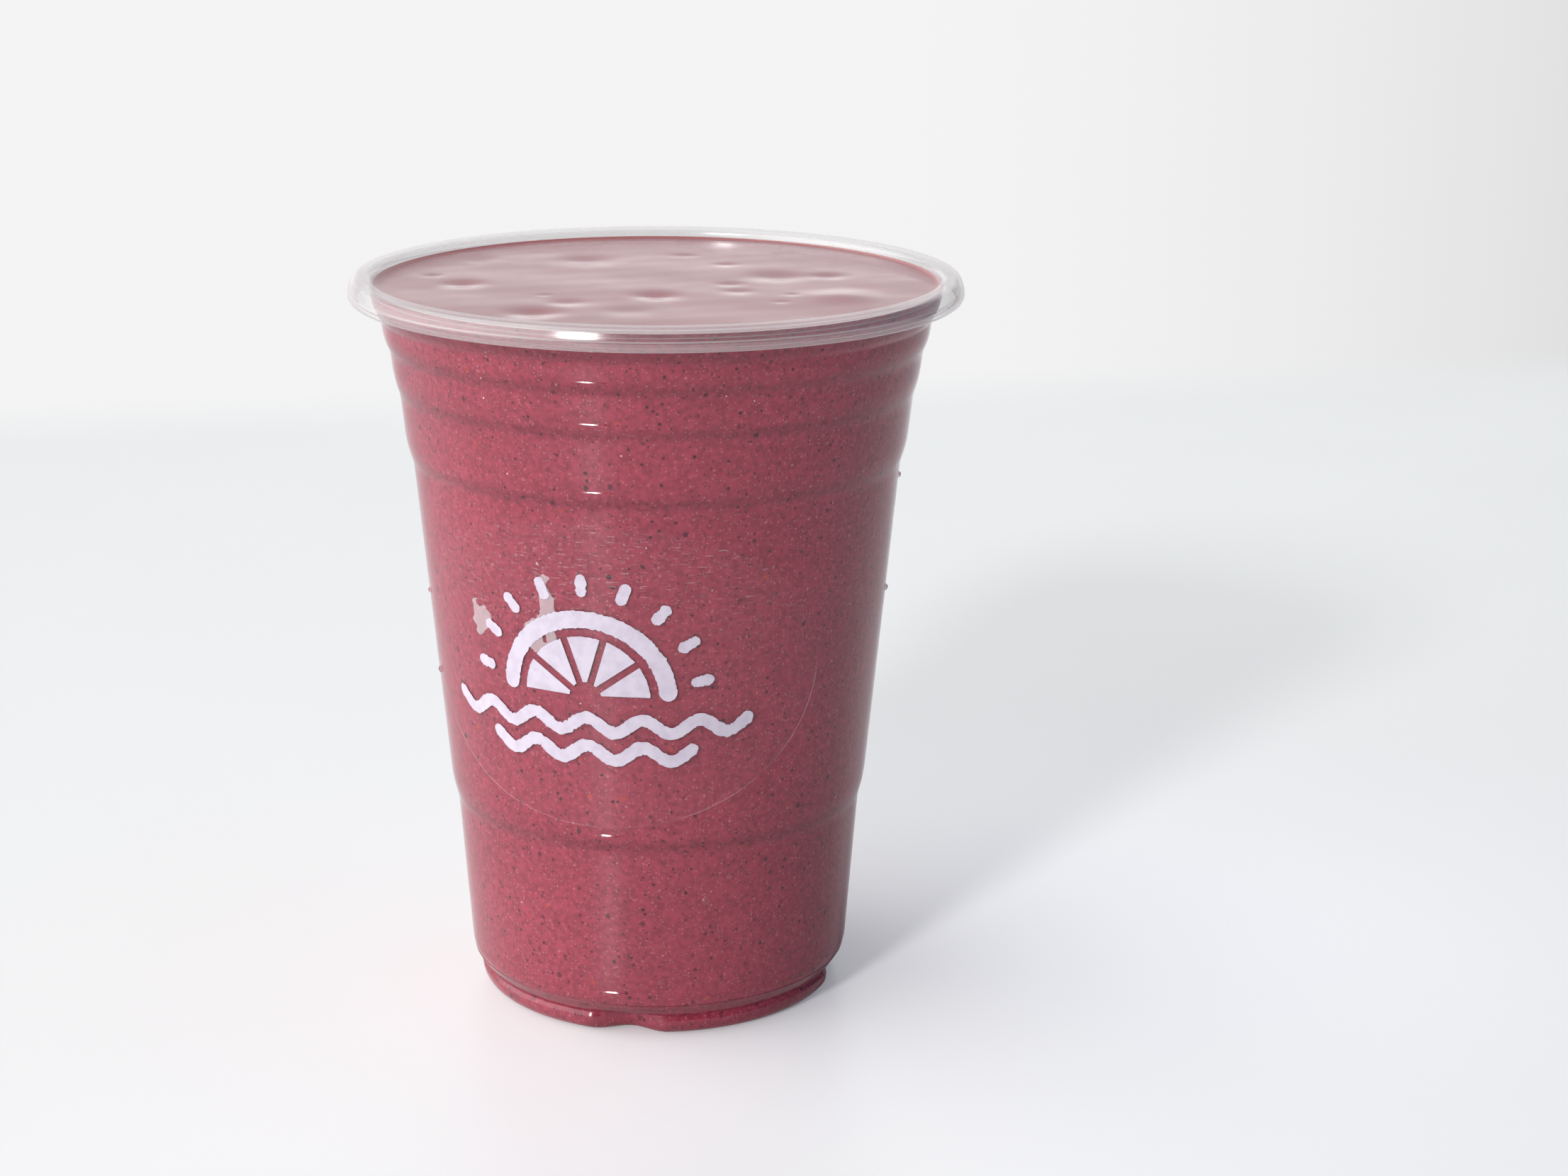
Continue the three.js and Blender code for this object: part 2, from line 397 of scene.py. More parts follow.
@dataclass(frozen=True)
class CupSizes:
    """The formed sheet of the cup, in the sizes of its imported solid."""

    sheet: float = 0.6
    base_rise: float = 2.6
    base_radius: float = 20.4
    ring_radii: tuple[float, float] = (23.0, 26.4)
    foot_radius: float = 29.0
    foot_round: float = 2.6
    foot_top: tuple[float, float] = (29.45, 4.4)
    bands: tuple[Band, ...] = (
        Band(30.35, 5.9, 32.27, 31.4),
        Band(33.12, 34.1, 38.08, 86.4),
        Band(39.02, 88.9, 39.9, 97.1),
        Band(40.78, 99.6, 41.32, 104.1),
        Band(42.25, 105.9, 42.55, 108.8),
    )
    curl: tuple[tuple[float, float], ...] = (
        (44.1, 113.2), (44.37, 114.6), (46.37, 114.6), (46.9, 113.07), (46.87, 112.25), (46.1, 112.2),
    )
    curl_round: float = 0.4
    rim_z: float = 110.9

    flute_count: int = 4
    flute_azimuth: float = math.radians(-10.0)
    flute_half_angle: float = math.radians(13.0)
    flute_depth: float = 2.4
    flute_full_z: float = 2.4
    flute_fade: tuple[float, float] = (15.0, 22.0)

    ridges: tuple[Ridge, ...] = (
        Ridge(7.75, 0.107, 0.18),
        Ridge(34.5, 0.154, 0.24),
        Ridge(89.35, 0.106, 0.18),
        Ridge(99.8, 0.104, 0.18),
        Ridge(106.25, 0.085, 0.14),
    )
    ridge_marks: tuple[float, ...] = (-2.0, -1.8, -0.2, 0.0, 0.1, 0.9, 1.0)
    ridge_azimuth: float = math.radians(-14.0)
    ridge_spread: float = math.radians(5.4)

    foot_corner: tuple[float, float] = (0.85, 0.4)
    outer_corner: tuple[float, float] = (2.2, 0.8)
    inner_corner: tuple[float, float] = (0.8, 0.4)
    corner_steps: int = 6
    edge_step: float = 0.12
    longest_step: float = 6.0

    @property
    def panel(self) -> Band:
        """The tall band that carries the label."""
        return self.bands[1]

    def corners(self) -> list[tuple[float, float]]:
        """The outer skin's corners.

        Returns:
            Radius and height of each corner, from the centre of the underside to the top of the wall.
        """
        ring_in, ring_out = self.ring_radii
        walls = [point for band in self.bands
                 for point in ((band.base_radius, band.base_z), (band.top_radius, band.top_z))]
        return [(0.0, self.base_rise), (self.base_radius, self.base_rise), (ring_in, 0.0),
                (ring_out, 0.0), self.foot_top, *walls]

    def skin(self) -> np.ndarray:
        """The outer skin without its flutes.

        Returns:
            Radius and height of each point, from the axis to the end of the curl.
        """
        corners = [np.array(corner) for corner in self.corners()]
        points = [corners[0]]
        for before, corner, after in zip(corners, corners[1:], corners[2:]):
            self._round_corner(points, before, corner, after)
        points.append(corners[-1])
        self._curl(points)
        return self._with_ridge_rows(self._evened(np.array(points)))

    def wall_span(self, points: np.ndarray) -> slice:
        """The points of the outer skin between the foot and the flare, which rise all the way."""
        start = int(np.argmax(points[:, 1] > self.foot_top[1]))
        return slice(start, int(np.argmax(points[:, 1] >= self.bands[-1].top_z)))

    def _with_ridge_rows(self, points: np.ndarray) -> np.ndarray:
        """Adds closely spaced points on the wall where its fine ridges will stand.

        Args:
            points: The outline.

        Returns:
            The outline with more points, of the same shape.
        """
        span = self.wall_span(points)
        wall = points[span]
        marks = [ridge.z + ridge.flank * np.array(self.ridge_marks) for ridge in self.ridges]
        heights = np.unique(np.concatenate([wall[:, 1], *marks]))
        heights = heights[(heights >= wall[0, 1]) & (heights <= wall[-1, 1])]
        rows = np.stack([np.interp(heights, wall[:, 1], wall[:, 0]), heights], axis=1)
        return np.concatenate([points[:span.start], rows, points[span.stop:]])

    def ridged(self, skins: np.ndarray) -> np.ndarray:
        """The outer skin with its fine ridges raised a little left of the front.

        Args:
            skins: An array of azimuth, point, and radius and height.

        Returns:
            The skins with the ridges.
        """
        span = self.wall_span(skins[0])
        turn = 2 * math.pi * np.arange(len(skins)) / len(skins) - self.ridge_azimuth
        turn -= 2 * math.pi * np.round(turn / (2 * math.pi))
        shown = np.exp(-(turn / self.ridge_spread) ** 4)[:, None]
        raised = skins.copy()
        for ridge in self.ridges:
            raised[:, span, 0] += shown * ridge.shape(skins[:, span, 1])
        return raised

    def _round_corner(self, points: list[np.ndarray], before: np.ndarray, corner: np.ndarray,
                      after: np.ndarray) -> None:
        """Adds a corner as an arc: wide on the wall's outer corners, tight on its inner ones.

        Args:
            points: The points so far, which grow.
            before: The corner before this one.
            corner: The corner to round.
            after: The corner after it.
        """
        if np.isclose(corner[1], 0.0) and corner[0] > sum(self.ring_radii) / 2:
            knee = np.array([self.foot_radius, 0.0])
            high = np.array([self.foot_radius, self.foot_round])
            self._bend(points, corner, knee, high, 2 * self.corner_steps)
            return
        back, ahead = before - corner, after - corner
        back_length, ahead_length = np.linalg.norm(back), np.linalg.norm(ahead)
        if corner[1] < self.foot_top[1]:
            size, share = self.foot_corner
        elif back[1] * ahead[0] > back[0] * ahead[1]:
            size, share = self.outer_corner
        else:
            size, share = self.inner_corner
        cut = min(size, share * min(back_length, ahead_length))
        low, high = corner + back * cut / back_length, corner + ahead * cut / ahead_length
        self._bend(points, low, corner, high, self.corner_steps)

    @staticmethod
    def _bend(points: list[np.ndarray], low: np.ndarray, knee: np.ndarray, high: np.ndarray,
              steps: int) -> None:
        """Adds a smooth bend.

        Args:
            points: The points so far, which grow.
            low: Where the bend starts.
            knee: The corner that it rounds.
            high: Where it ends.
            steps: Number of its straight pieces.
        """
        for share in np.linspace(0.0, 1.0, steps + 1):
            points.append((1 - share) ** 2 * low + 2 * share * (1 - share) * knee + share ** 2 * high)

    def _curl(self, points: list[np.ndarray]) -> None:
        """Adds the flare at the top of the wall and the rolled rim, with its flattened faces.

        Args:
            points: The points so far, which grow.
        """
        most_of_leg = 0.49
        low = points.pop()
        corners = [np.array(corner) for corner in self.curl]
        knee = np.array([corners[0][0], (low[1] + corners[0][1]) / 2])
        self._bend(points, low, knee, corners[0], 2 * self.corner_steps)
        for before, corner, after in zip(corners, corners[1:], corners[2:]):
            ends = [corner + leg * min(self.curl_round / np.linalg.norm(leg), most_of_leg)
                    for leg in (before - corner, after - corner)]
            self._bend(points, ends[0], corner, ends[1], self.corner_steps)
        points.append(corners[-1])

    def _evened(self, points: np.ndarray) -> np.ndarray:
        """Splits long runs, with a short step at each end so that shading stays true there.

        Args:
            points: The outline.

        Returns:
            The outline with more points on its straight runs.
        """
        step = self.edge_step
        out = [points[0]]
        for start, end in zip(points, points[1:]):
            length = np.linalg.norm(end - start)
            if length > 4 * step:
                inner = max(1, math.ceil(length / self.longest_step))
                marks = [step, *np.linspace(step, length - step, inner + 1)[1:]]
                out.extend(start + (end - start) * mark / length for mark in marks)
            out.append(end)
        return np.array(out)

    def skins(self, sides: int) -> np.ndarray:
        """The outer skin at evenly spaced azimuths, with the flutes pressed into its foot.

        Args:
            sides: Number of azimuths.

        Returns:
            An array of azimuth, point, and radius and height.
        """
        points = self.skin()
        azimuths = 2 * math.pi * np.arange(sides) / sides
        spacing = 2 * math.pi / self.flute_count
        turn = azimuths - self.flute_azimuth
        aside = np.abs(turn - spacing * np.round(turn / spacing)) / self.flute_half_angle
        depth = np.where(aside < 1, self.flute_depth * (1 + np.cos(math.pi * aside)) / 2, 0.0)
        low = 1 - smoothstep(points[:, 1], self.flute_full_z, self.foot_top[1])
        share = low * smoothstep(points[:, 0], *self.flute_fade)
        skins = np.repeat(points[None], sides, axis=0)
        skins[:, :, 0] -= depth[:, None] * share[None]
        return skins


@dataclass(frozen=True)
class LabelSizes:
    """The oval film on the panel band."""

    panel: Band
    width: float = 72.8
    height: float = 48.6
    azimuth: float = math.radians(-16.3)
    centre_z: float = 60.1

    @property
    def taper(self) -> float:
        """The panel's lean from upright."""
        panel = self.panel
        return math.atan2(panel.top_radius - panel.base_radius, panel.top_z - panel.base_z)

    @property
    def middle_radius(self) -> float:
        """The panel's radius at the label's centre."""
        return self.panel.base_radius + (self.centre_z - self.panel.base_z) * math.tan(self.taper)

    def wrap(self, along: np.ndarray, up: np.ndarray, outwards: np.ndarray) -> np.ndarray:
        """Lays points of the flat film on the panel.

        Args:
            along: Distance along the wall from the label's centre.
            up: Distance up the wall from the label's centre.
            outwards: Distance off the wall.

        Returns:
            The points in the shared frame.
        """
        z = self.centre_z + up * math.cos(self.taper)
        radius = self.middle_radius + up * math.sin(self.taper) + outwards / math.cos(self.taper)
        azimuth = self.azimuth + along / self.middle_radius
        return np.stack([radius * np.sin(azimuth), -radius * np.cos(azimuth), z], axis=-1)


def offset(profiles: np.ndarray, distance: float) -> np.ndarray:
    """Moves profiles to their left, towards the inside of the cup, with mitred corners.

    Args:
        profiles: An array of azimuth, point, and radius and height.
        distance: How far to move.

    Returns:
        The moved profiles.
    """
    runs = np.diff(profiles, axis=1)
    normals = np.stack([-runs[..., 1], runs[..., 0]], axis=-1)
    normals /= np.linalg.norm(normals, axis=-1, keepdims=True)
    before = np.concatenate([normals[:, :1], normals], axis=1)
    after = np.concatenate([normals, normals[:, -1:]], axis=1)
    mitre = before + after
    mitre /= np.linalg.norm(mitre, axis=-1, keepdims=True)
    return profiles + mitre * distance / np.sum(mitre * before, axis=-1, keepdims=True)


def revolve(profiles: np.ndarray) -> tuple[np.ndarray, Faces]:
    """A closed surface round Z from one profile for each azimuth.

    Args:
        profiles: An array of azimuth, point, and radius and height, from the axis to the axis.

    Returns:
        The vertices and the faces, row after row along the profile.
    """
    sides, count, _ = profiles.shape
    azimuths = (2 * math.pi * np.arange(sides) / sides)[:, None]
    radius, z = profiles[:, 1:-1, 0], profiles[:, 1:-1, 1]
    rows = np.stack([radius * np.sin(azimuths), -radius * np.cos(azimuths), z], axis=-1)
    rows = rows.transpose(1, 0, 2).reshape(-1, 3)
    poles = np.array([[0.0, 0.0, profiles[0, 0, 1]], [0.0, 0.0, profiles[0, -1, 1]]])
    first, last = len(rows), len(rows) + 1
    top = (count - 3) * sides
    faces: Faces = [(first, (side + 1) % sides, side) for side in range(sides)]
    for row in range(count - 3):
        start = row * sides
        for side in range(sides):
            ahead = (side + 1) % sides
            faces.append((start + side, start + ahead, start + sides + ahead, start + sides + side))
    faces += [(top + side, top + (side + 1) % sides, last) for side in range(sides)]
    return np.concatenate([rows, poles]), faces


def make_piece(name: str, vertices: np.ndarray, faces: Faces, materials: Sequence[bpy.types.Material],
               crease: float = 40.0) -> bpy.types.Object:
    """Makes a mesh piece of the part and fixes it to the part's body.

    Args:
        name: The piece's name.
        vertices: Points in millimetres.
        faces: Corner indices of each face.
        materials: The piece's finishes.
        crease: Edges that bend more than these degrees stay sharp.

    Returns:
        The new object.
    """
    mesh = bpy.data.meshes.new(name)
    mesh.from_pydata((vertices * MM).tolist(), [], faces)
    mesh.validate()
    mesh.shade_smooth()
    mesh.set_sharp_from_angle(angle=math.radians(crease))
    for material in materials:
        mesh.materials.append(material)
    piece = bpy.data.objects.new(name, mesh)
    bpy.context.scene.collection.objects.link(piece)
    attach(piece, BODY)
    return piece


class Finish:
    """A material that one shader makes up."""

    name: str

    def shader(self, bench: NodeBench) -> Socket:
        """Builds the shader.

        Args:
            bench: The bench on the material's tree.

        Returns:
            The shader for the material's surface.
        """
        raise NotImplementedError

    def material(self) -> bpy.types.Material:
        """Builds the material.

        Returns:
            The material, with the shader on its surface.
        """
        material = bpy.data.materials.new(self.name)
        material.use_nodes = True
        material.node_tree.nodes.clear()
        bench = NodeBench(material.node_tree)
        bench.add("ShaderNodeOutputMaterial", {"Surface": self.shader(bench)})
        return material


def open_to_light(bench: NodeBench, shader: Socket, passing: Colour) -> Socket:
    """Lets light and soft bounces pass straight through a clear shader.

    Args:
        bench: The bench on the material's tree.
        shader: The clear shader that the eye sees.
        passing: The share of light that passes.

    Returns:
        The shader that does both.
    """
    path = bench.add("ShaderNodeLightPath").outputs
    through = bench.math("MAXIMUM", path["Is Shadow Ray"], path["Is Diffuse Ray"])
    clear = bench.add("ShaderNodeBsdfTransparent", {"Color": opaque(passing)}).outputs[0]
    return bench.blend(through, shader, clear)


@dataclass(frozen=True)
class ClearPlastic(Finish):
    """The cup's clear formed sheet, duller where the label's glue lies on it."""

    label: LabelSizes
    name: str = "clear_plastic"
    tint: Colour = (0.985, 0.982, 0.985)
    ior: float = 1.5
    roughness: float = 0.11
    glued_roughness: float = 0.125
    glue_edge: tuple[float, float] = (1.005, 0.995)
    smear_period: float = 9.0
    smear_spread: tuple[float, float] = (0.35, 0.75)
    smear_roughness: tuple[float, float] = (0.8, 1.5)
    sway_period: float = 14.0
    sway_depth: float = 0.3
    sway_strength: float = 0.12
    passing: Colour = (0.95, 0.95, 0.95)

    def shader(self, bench: NodeBench) -> Socket:
        """Builds the clear shader, with a slow unevenness and faint smears.

        Args:
            bench: The bench on the material's tree.

        Returns:
            The shader for the material's surface.
        """
        oval = bench.group(LabelOval(self.label).tree())
        glued = bench.ease(oval["Reach"], *self.glue_edge)
        rough = bench.ease(glued, 0.0, 1.0, self.roughness, self.glued_roughness)
        smear = bench.mottle(self.smear_period, *self.smear_roughness, 3.0, self.smear_spread)
        sway = bench.noise(bench.place(), self.sway_period, 1.0)
        plastic = bench.add("ShaderNodeBsdfPrincipled", {
            "Base Color": opaque(self.tint), "Roughness": bench.math("MULTIPLY", rough, smear),
            "IOR": self.ior, "Transmission Weight": 1.0,
            "Normal": bench.bump(sway, self.sway_depth, self.sway_strength),
        })
        return open_to_light(bench, plastic.outputs[0], self.passing)


@dataclass(frozen=True)
class RolledPlastic(Finish):
    """The sheet where it is rolled into the rim: clear face on, with painted white that stands in for its
    reflections where it is seen edge on, and painted light lines.
    """

    name: str = "rolled_plastic"
    colour: Colour = (0.95, 0.93, 0.93)
    worn_colour: Colour = (0.90, 0.87, 0.88)
    worn_period: float = 5.0
    roughness: float = 0.12
    ior: float = 1.5
    glow: float = 0.35
    haze: float = 0.01
    # Painted reflection: how strongly the white follows the Fresnel share.
    glare: float = 1.05
    # Painted light lines: extra white at the cut end and along the crease.
    end_z: tuple[float, float] = (112.2, 112.45)
    end_painted_sheen: float = 0.07
    crease_z: float = 113.2
    crease_half_height: float = 0.2
    crease_painted_sheen: float = 0.3
    polish: float = 0.075
    polish_roughness: float = 0.15
    passing: Colour = (0.84, 0.84, 0.84)

    def shader(self, bench: NodeBench) -> Socket:
        """Builds the shader: a clear sheet with painted white reflections and light lines, and a polish over
        it.

        Args:
            bench: The bench on the material's tree.

        Returns:
            The shader for the material's surface.
        """
        worn = bench.mottle(self.worn_period, detail=3.0)
        tone = bench.mix(worn, opaque(self.colour), opaque(self.worn_colour))
        plastic = bench.add("ShaderNodeBsdfPrincipled", {"Base Color": tone, "Roughness": self.roughness})
        glowing = bench.add("ShaderNodeBsdfTranslucent", {"Color": tone})
        white = bench.blend(self.glow, plastic.outputs[0], glowing.outputs[0])
        clear = bench.add("ShaderNodeBsdfTransparent").outputs[0]
        sheet = bench.blend(self._painted_whitening(bench), clear, white)
        shine = bench.add("ShaderNodeBsdfAnisotropic", {"Roughness": self.polish_roughness}).outputs[0]
        return open_to_light(bench, bench.blend(self.polish, sheet, shine), self.passing)

    def _painted_whitening(self, bench: NodeBench) -> Socket:
        """How much painted white the sheet has: painted reflection, more where it is seen edge on, and
        painted light lines at its cut end and along its crease.

        Args:
            bench: The bench on the material's tree.

        Returns:
            The share of painted white, from 0 to 1.
        """
        # Painted reflection: white that follows the Fresnel share stands in for the rim's reflections of the
        # bright room.
        back = bench.add("ShaderNodeNewGeometry").outputs["Backfacing"]
        bending = bench.math("MULTIPLY_ADD", back, 1.0 / self.ior - self.ior, self.ior)
        mirrored = bench.add("ShaderNodeFresnel", {"IOR": bending}).outputs[0]
        height = bench.math("DIVIDE", bench.point()[2], MM)
        # Painted light lines at the sheet's cut end and along its crease.
        end = bench.ease(height, *self.end_z, self.end_painted_sheen, 0.0)
        off_crease = bench.math("ABSOLUTE", bench.math("SUBTRACT", height, self.crease_z))
        crease = bench.ease(off_crease, 0.0, self.crease_half_height, self.crease_painted_sheen, 0.0)
        haze = bench.math("ADD", bench.math("MAXIMUM", end, crease), self.haze)
        return bench.math("MULTIPLY_ADD", mirrored, self.glare, haze, clamp=True)


@dataclass(frozen=True)
class FruitPulp(Finish):
    """The smoothie: thick fruit pulp, dull behind the sheet and wet on top."""

    name: str
    pulp: Colour
    seeds: float
    froth: float
    roughness: float
    specular: float
    grain: float
    grain_depth: float = 0.1
    rough_period: float = 6.0
    rough_range: tuple[float, float] = (0.85, 1.15)
    # Painted light: between these radii the colour turns to a brighter red, for light shining through the
    # drink's thin edge.
    edge_radii: tuple[float, float] = (60.0, 61.0)
    edge_glow_colour: Colour = (0.50, 0.15, 0.15)
    # Painted shade: the colour is darkened in bands round these heights, for the shade of the wall's steps,
    # the foot's crease and the rim.
    painted_shade_heights: tuple[float, ...] = ()
    painted_shade_half_height: float = 1.5
    painted_shade_share: float = 0.76

    def shader(self, bench: NodeBench) -> Socket:
        """Builds the pulp, with painted shade in bands below the wall's steps, at the foot's crease and under
        the rim, and painted light of a brighter red at its thin edge.

        Args:
            bench: The bench on the material's tree.

        Returns:
            The shader for the material's surface.
        """
        wires = {"Pulp": opaque(self.pulp), "Seeds": self.seeds, "Froth": self.froth}
        flecks = bench.group(BerryFlecks().tree(), wires)
        point = bench.point()
        # Painted light: a brighter red near the surface's rim stands in for light through the drink's thin
        # edge.
        flat = bench.add("ShaderNodeCombineXYZ", {0: point[0], 1: point[1]}).outputs[0]
        radius = bench.vector("LENGTH", flat, output="Value")
        edge = bench.ease(radius, *(limit * MM for limit in self.edge_radii))
        shaded = bench.scale(flecks["Color"], self._shade(bench, point[2]))
        rough = bench.mottle(self.rough_period, *(share * self.roughness for share in self.rough_range))
        pulp = bench.add("ShaderNodeBsdfPrincipled", {
            "Base Color": bench.mix(edge, shaded, opaque(self.edge_glow_colour)),
            "Roughness": rough, "Specular IOR Level": self.specular,
            "Normal": bench.bump(flecks["Grain"], self.grain_depth, self.grain),
        })
        return pulp.outputs[0]

    def _shade(self, bench: NodeBench, height: Socket) -> Wire:
        """How much of the colour is left under the painted shade: dark bands below the wall's steps, at the
        foot's crease and under the rim.

        Args:
            bench: The bench on the material's tree.
            height: The point's height in metres.

        Returns:
            The share, at most 1.
        """
        shade: Wire = 1.0
        for step in self.painted_shade_heights:
            aside = bench.math("ABSOLUTE", bench.math("SUBTRACT", height, step * MM))
            band = bench.ease(aside, 0.0, self.painted_shade_half_height * MM, self.painted_shade_share, 1.0)
            shade = bench.math("MULTIPLY", shade, band)
        return shade


@dataclass(frozen=True)
class AirPatch:
    """A place where the film isn't stuck down, on the unrolled label."""

    along: float
    up: float
    half_width: float
    half_height: float


@dataclass(frozen=True)
class ClearFilm(Finish):
    """The label's clear film: a thin edge line, fine scuffs and a few pale patches of trapped air."""

    label: LabelSizes
    name: str = "clear_film"
    colour: Colour = (0.86, 0.74, 0.77)
    pale_colour: Colour = (0.95, 0.9, 0.92)
    pale_period: float = 1.2
    roughness: float = 0.3
    haze: float = 0.004

    edge_alpha: float = 0.085
    edge_reach: tuple[float, float] = (0.990, 0.996)
    edge_fade: tuple[float, float] = (0.0, 10.0)
    edge_top: float = 0.15
    worn_period: float = 11.0
    worn_spread: tuple[float, float] = (0.35, 0.65)
    worn_least: float = 0.25

    scuff_alpha: float = 0.1
    scuff_scale: tuple[float, float] = (0.45, 4.2)
    scuff_limits: tuple[float, float] = (0.6, 0.7)
    scuff_fade: tuple[float, float] = (0.0, 17.0)
    scuff_low: float = 0.22

    air_alpha: float = 0.24
    air_edge: tuple[float, float] = (1.04, 0.96)
    air_raggedness: float = 0.45
    air_period: float = 2.2
    patches: tuple[AirPatch, ...] = (
        AirPatch(-6.6, 10.3, 1.7, 6.0),
        AirPatch(-8.6, 6.3, 1.4, 2.6),
        AirPatch(-19.4, 6.9, 1.9, 2.4),
        AirPatch(6.6, 7.8, 1.3, 0.8),
    )

    def shader(self, bench: NodeBench) -> Socket:
        """Builds the film, which is clear but for its edge, scuffs and air.

        Args:
            bench: The bench on the material's tree.

        Returns:
            The shader for the material's surface.
        """
        oval = bench.group(LabelOval(self.label).tree())
        alpha: Wire = self.haze
        for mark in (self._edge, self._scuffs, self._air):
            alpha = bench.math("MAXIMUM", mark(bench, oval), alpha)
        pale = bench.noise(bench.place(), self.pale_period)
        film = bench.add("ShaderNodeBsdfPrincipled", {
            "Base Color": bench.mix(pale, opaque(self.colour), opaque(self.pale_colour)),
            "Roughness": self.roughness, "Alpha": alpha,
        })
        return film.outputs[0]

    def _edge(self, bench: NodeBench, oval: Sequence[Socket]) -> Socket:
        """The pale line of the film's edge, worn in places and faint at the top.

        Args:
            bench: The bench on the material's tree.
            oval: The outputs of the label's group.

        Returns:
            The edge's alpha.
        """
        worn = bench.mottle(self.worn_period, self.worn_least, 1.0, spread=self.worn_spread)
        upper = bench.ease(oval["Up"], *self.edge_fade, 1.0, self.edge_top)
        edge = bench.math("MULTIPLY", bench.ease(oval["Reach"], *self.edge_reach), self.edge_alpha)
        return bench.math("MULTIPLY", edge, bench.math("MULTIPLY", worn, upper))

    def _scuffs(self, bench: NodeBench, oval: Sequence[Socket]) -> Socket:
        """Fine short pale lines along the wall, most of them in the upper part of the label.

        Args:
            bench: The bench on the material's tree.
            oval: The outputs of the label's group.

        Returns:
            The scuffs' alpha.
        """
        across, high = self.scuff_scale
        stretched = bench.add("ShaderNodeCombineXYZ", {
            0: bench.math("MULTIPLY", oval["Along"], across), 1: bench.math("MULTIPLY", oval["Up"], high),
        }).outputs[0]
        wires = {"Vector": stretched, "Scale": 1.0, "Detail": 2.0}
        lines = bench.ease(bench.add("ShaderNodeTexNoise", wires).outputs[0], *self.scuff_limits)
        upper = bench.ease(oval["Up"], *self.scuff_fade, self.scuff_low, 1.0)
        return bench.math("MULTIPLY", bench.math("MULTIPLY", lines, upper), self.scuff_alpha)

    def _air(self, bench: NodeBench, oval: Sequence[Socket]) -> Socket:
        """Ragged patches of trapped air.

        Args:
            bench: The bench on the material's tree.
            oval: The outputs of the label's group.

        Returns:
            The patches' alpha.
        """
        ragged = bench.mottle(self.air_period, -self.air_raggedness, self.air_raggedness, 3.0)
        result: Wire = 0.0
        for patch in self.patches:
            along = bench.math("SUBTRACT", oval["Along"], patch.along)
            across = bench.math("DIVIDE", along, patch.half_width)
            high = bench.math("DIVIDE", bench.math("SUBTRACT", oval["Up"], patch.up), patch.half_height)
            reach = bench.math("ADD", bench.hypotenuse(across, high), ragged)
            result = bench.math("MAXIMUM", result, bench.ease(reach, *self.air_edge))
        return bench.math("MULTIPLY", result, self.air_alpha)


@dataclass(frozen=True)
class LabelInk(Finish):
    """The label's pale print, a little uneven as screen ink is."""

    name: str = "label_ink"
    colour: Colour = (0.66, 0.60, 0.70)
    worn_colour: Colour = (0.59, 0.52, 0.62)
    worn_period: float = 1.6
    worn_spread: tuple[float, float] = (0.35, 0.7)
    roughness: float = 0.45

    def shader(self, bench: NodeBench) -> Socket:
        """Builds the ink.

        Args:
            bench: The bench on the material's tree.

        Returns:
            The shader for the material's surface.
        """
        worn = bench.mottle(self.worn_period, detail=4.0, spread=self.worn_spread)
        tone = bench.mix(worn, opaque(self.colour), opaque(self.worn_colour))
        ink = bench.add("ShaderNodeBsdfPrincipled", {"Base Color": tone, "Roughness": self.roughness})
        return ink.outputs[0]


@dataclass(frozen=True)
class Water(Finish):
    """Clear water of the beads on the wall."""

    name: str = "water"
    colour: Colour = (1.0, 0.98, 0.98)
    dull_colour: Colour = (0.97, 0.95, 0.96)
    dull_period: float = 0.8
    ior: float = 1.333
    roughness: float = 0.01
    passing: Colour = (0.97, 0.97, 0.97)

    def shader(self, bench: NodeBench) -> Socket:
        """Builds the water.

        Args:
            bench: The bench on the material's tree.

        Returns:
            The shader for the material's surface.
        """
        dull = bench.noise(bench.place(), self.dull_period)
        water = bench.add("ShaderNodeBsdfPrincipled", {
            "Base Color": bench.mix(dull, opaque(self.colour), opaque(self.dull_colour)),
            "Roughness": self.roughness, "IOR": self.ior, "Transmission Weight": 1.0,
        })
        return open_to_light(bench, water.outputs[0], self.passing)


@dataclass
class ClearCup:
    """The disposable cup: one thin clear sheet with a rolled rim."""

    sizes: CupSizes
    label: LabelSizes
    sides: int = 180

    def build(self) -> bpy.types.Object:
        """Builds the sheet's closed mesh and dresses it.

        Returns:
            The piece.
        """
        outside = self.sizes.skins(self.sides)
        inside = offset(outside, self.sizes.sheet)
        profiles = np.concatenate([self.sizes.ridged(outside), inside[:, ::-1]], axis=1)
        vertices, faces = revolve(profiles)
        finishes = [ClearPlastic(self.label).material(), RolledPlastic().material()]
        shell = make_piece("cup_shell", vertices, faces, finishes)
        self._dress_rim(shell, profiles[0, 1:-1, 1])
        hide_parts(CadNode.CUP.value)
        return shell

    def _dress_rim(self, shell: bpy.types.Object, heights: np.ndarray) -> None:
        """Gives the rolled rim its own finish.

        Args:
            shell: The piece.
            heights: The height of each row of its points.
        """
        rolled = (heights > self.sizes.rim_z).astype(int)
        rows = [0, *np.minimum(rolled[:-1], rolled[1:]), 0]
        shell.data.polygons.foreach_set("material_index", np.repeat(rows, self.sides))


@dataclass(frozen=True)
class Dent:
    """A soft hollow in the drink's surface, or a swelling where the depth is negative."""

    x: float
    y: float
    spread: float
    depth: float

    def hollow(self, x: np.ndarray, y: np.ndarray) -> np.ndarray:
        """The dent's share of the surface's depth at the places."""
        return self.depth * np.exp(-((x - self.x) ** 2 + (y - self.y) ** 2) / self.spread ** 2)


@dataclass(frozen=True)
class Sway:
    """A slow wave in the surface of a thick liquid, of two sines that cross."""

    depth: float
    first: tuple[float, float, float]
    second: tuple[float, float, float]

    def hollow(self, x: np.ndarray, y: np.ndarray) -> np.ndarray:
        """The wave's depth at the places."""
        sines = [np.sin(across * x + deep * y + start) for across, deep, start in (self.first, self.second)]
        return self.depth * (sines[0] * sines[1])


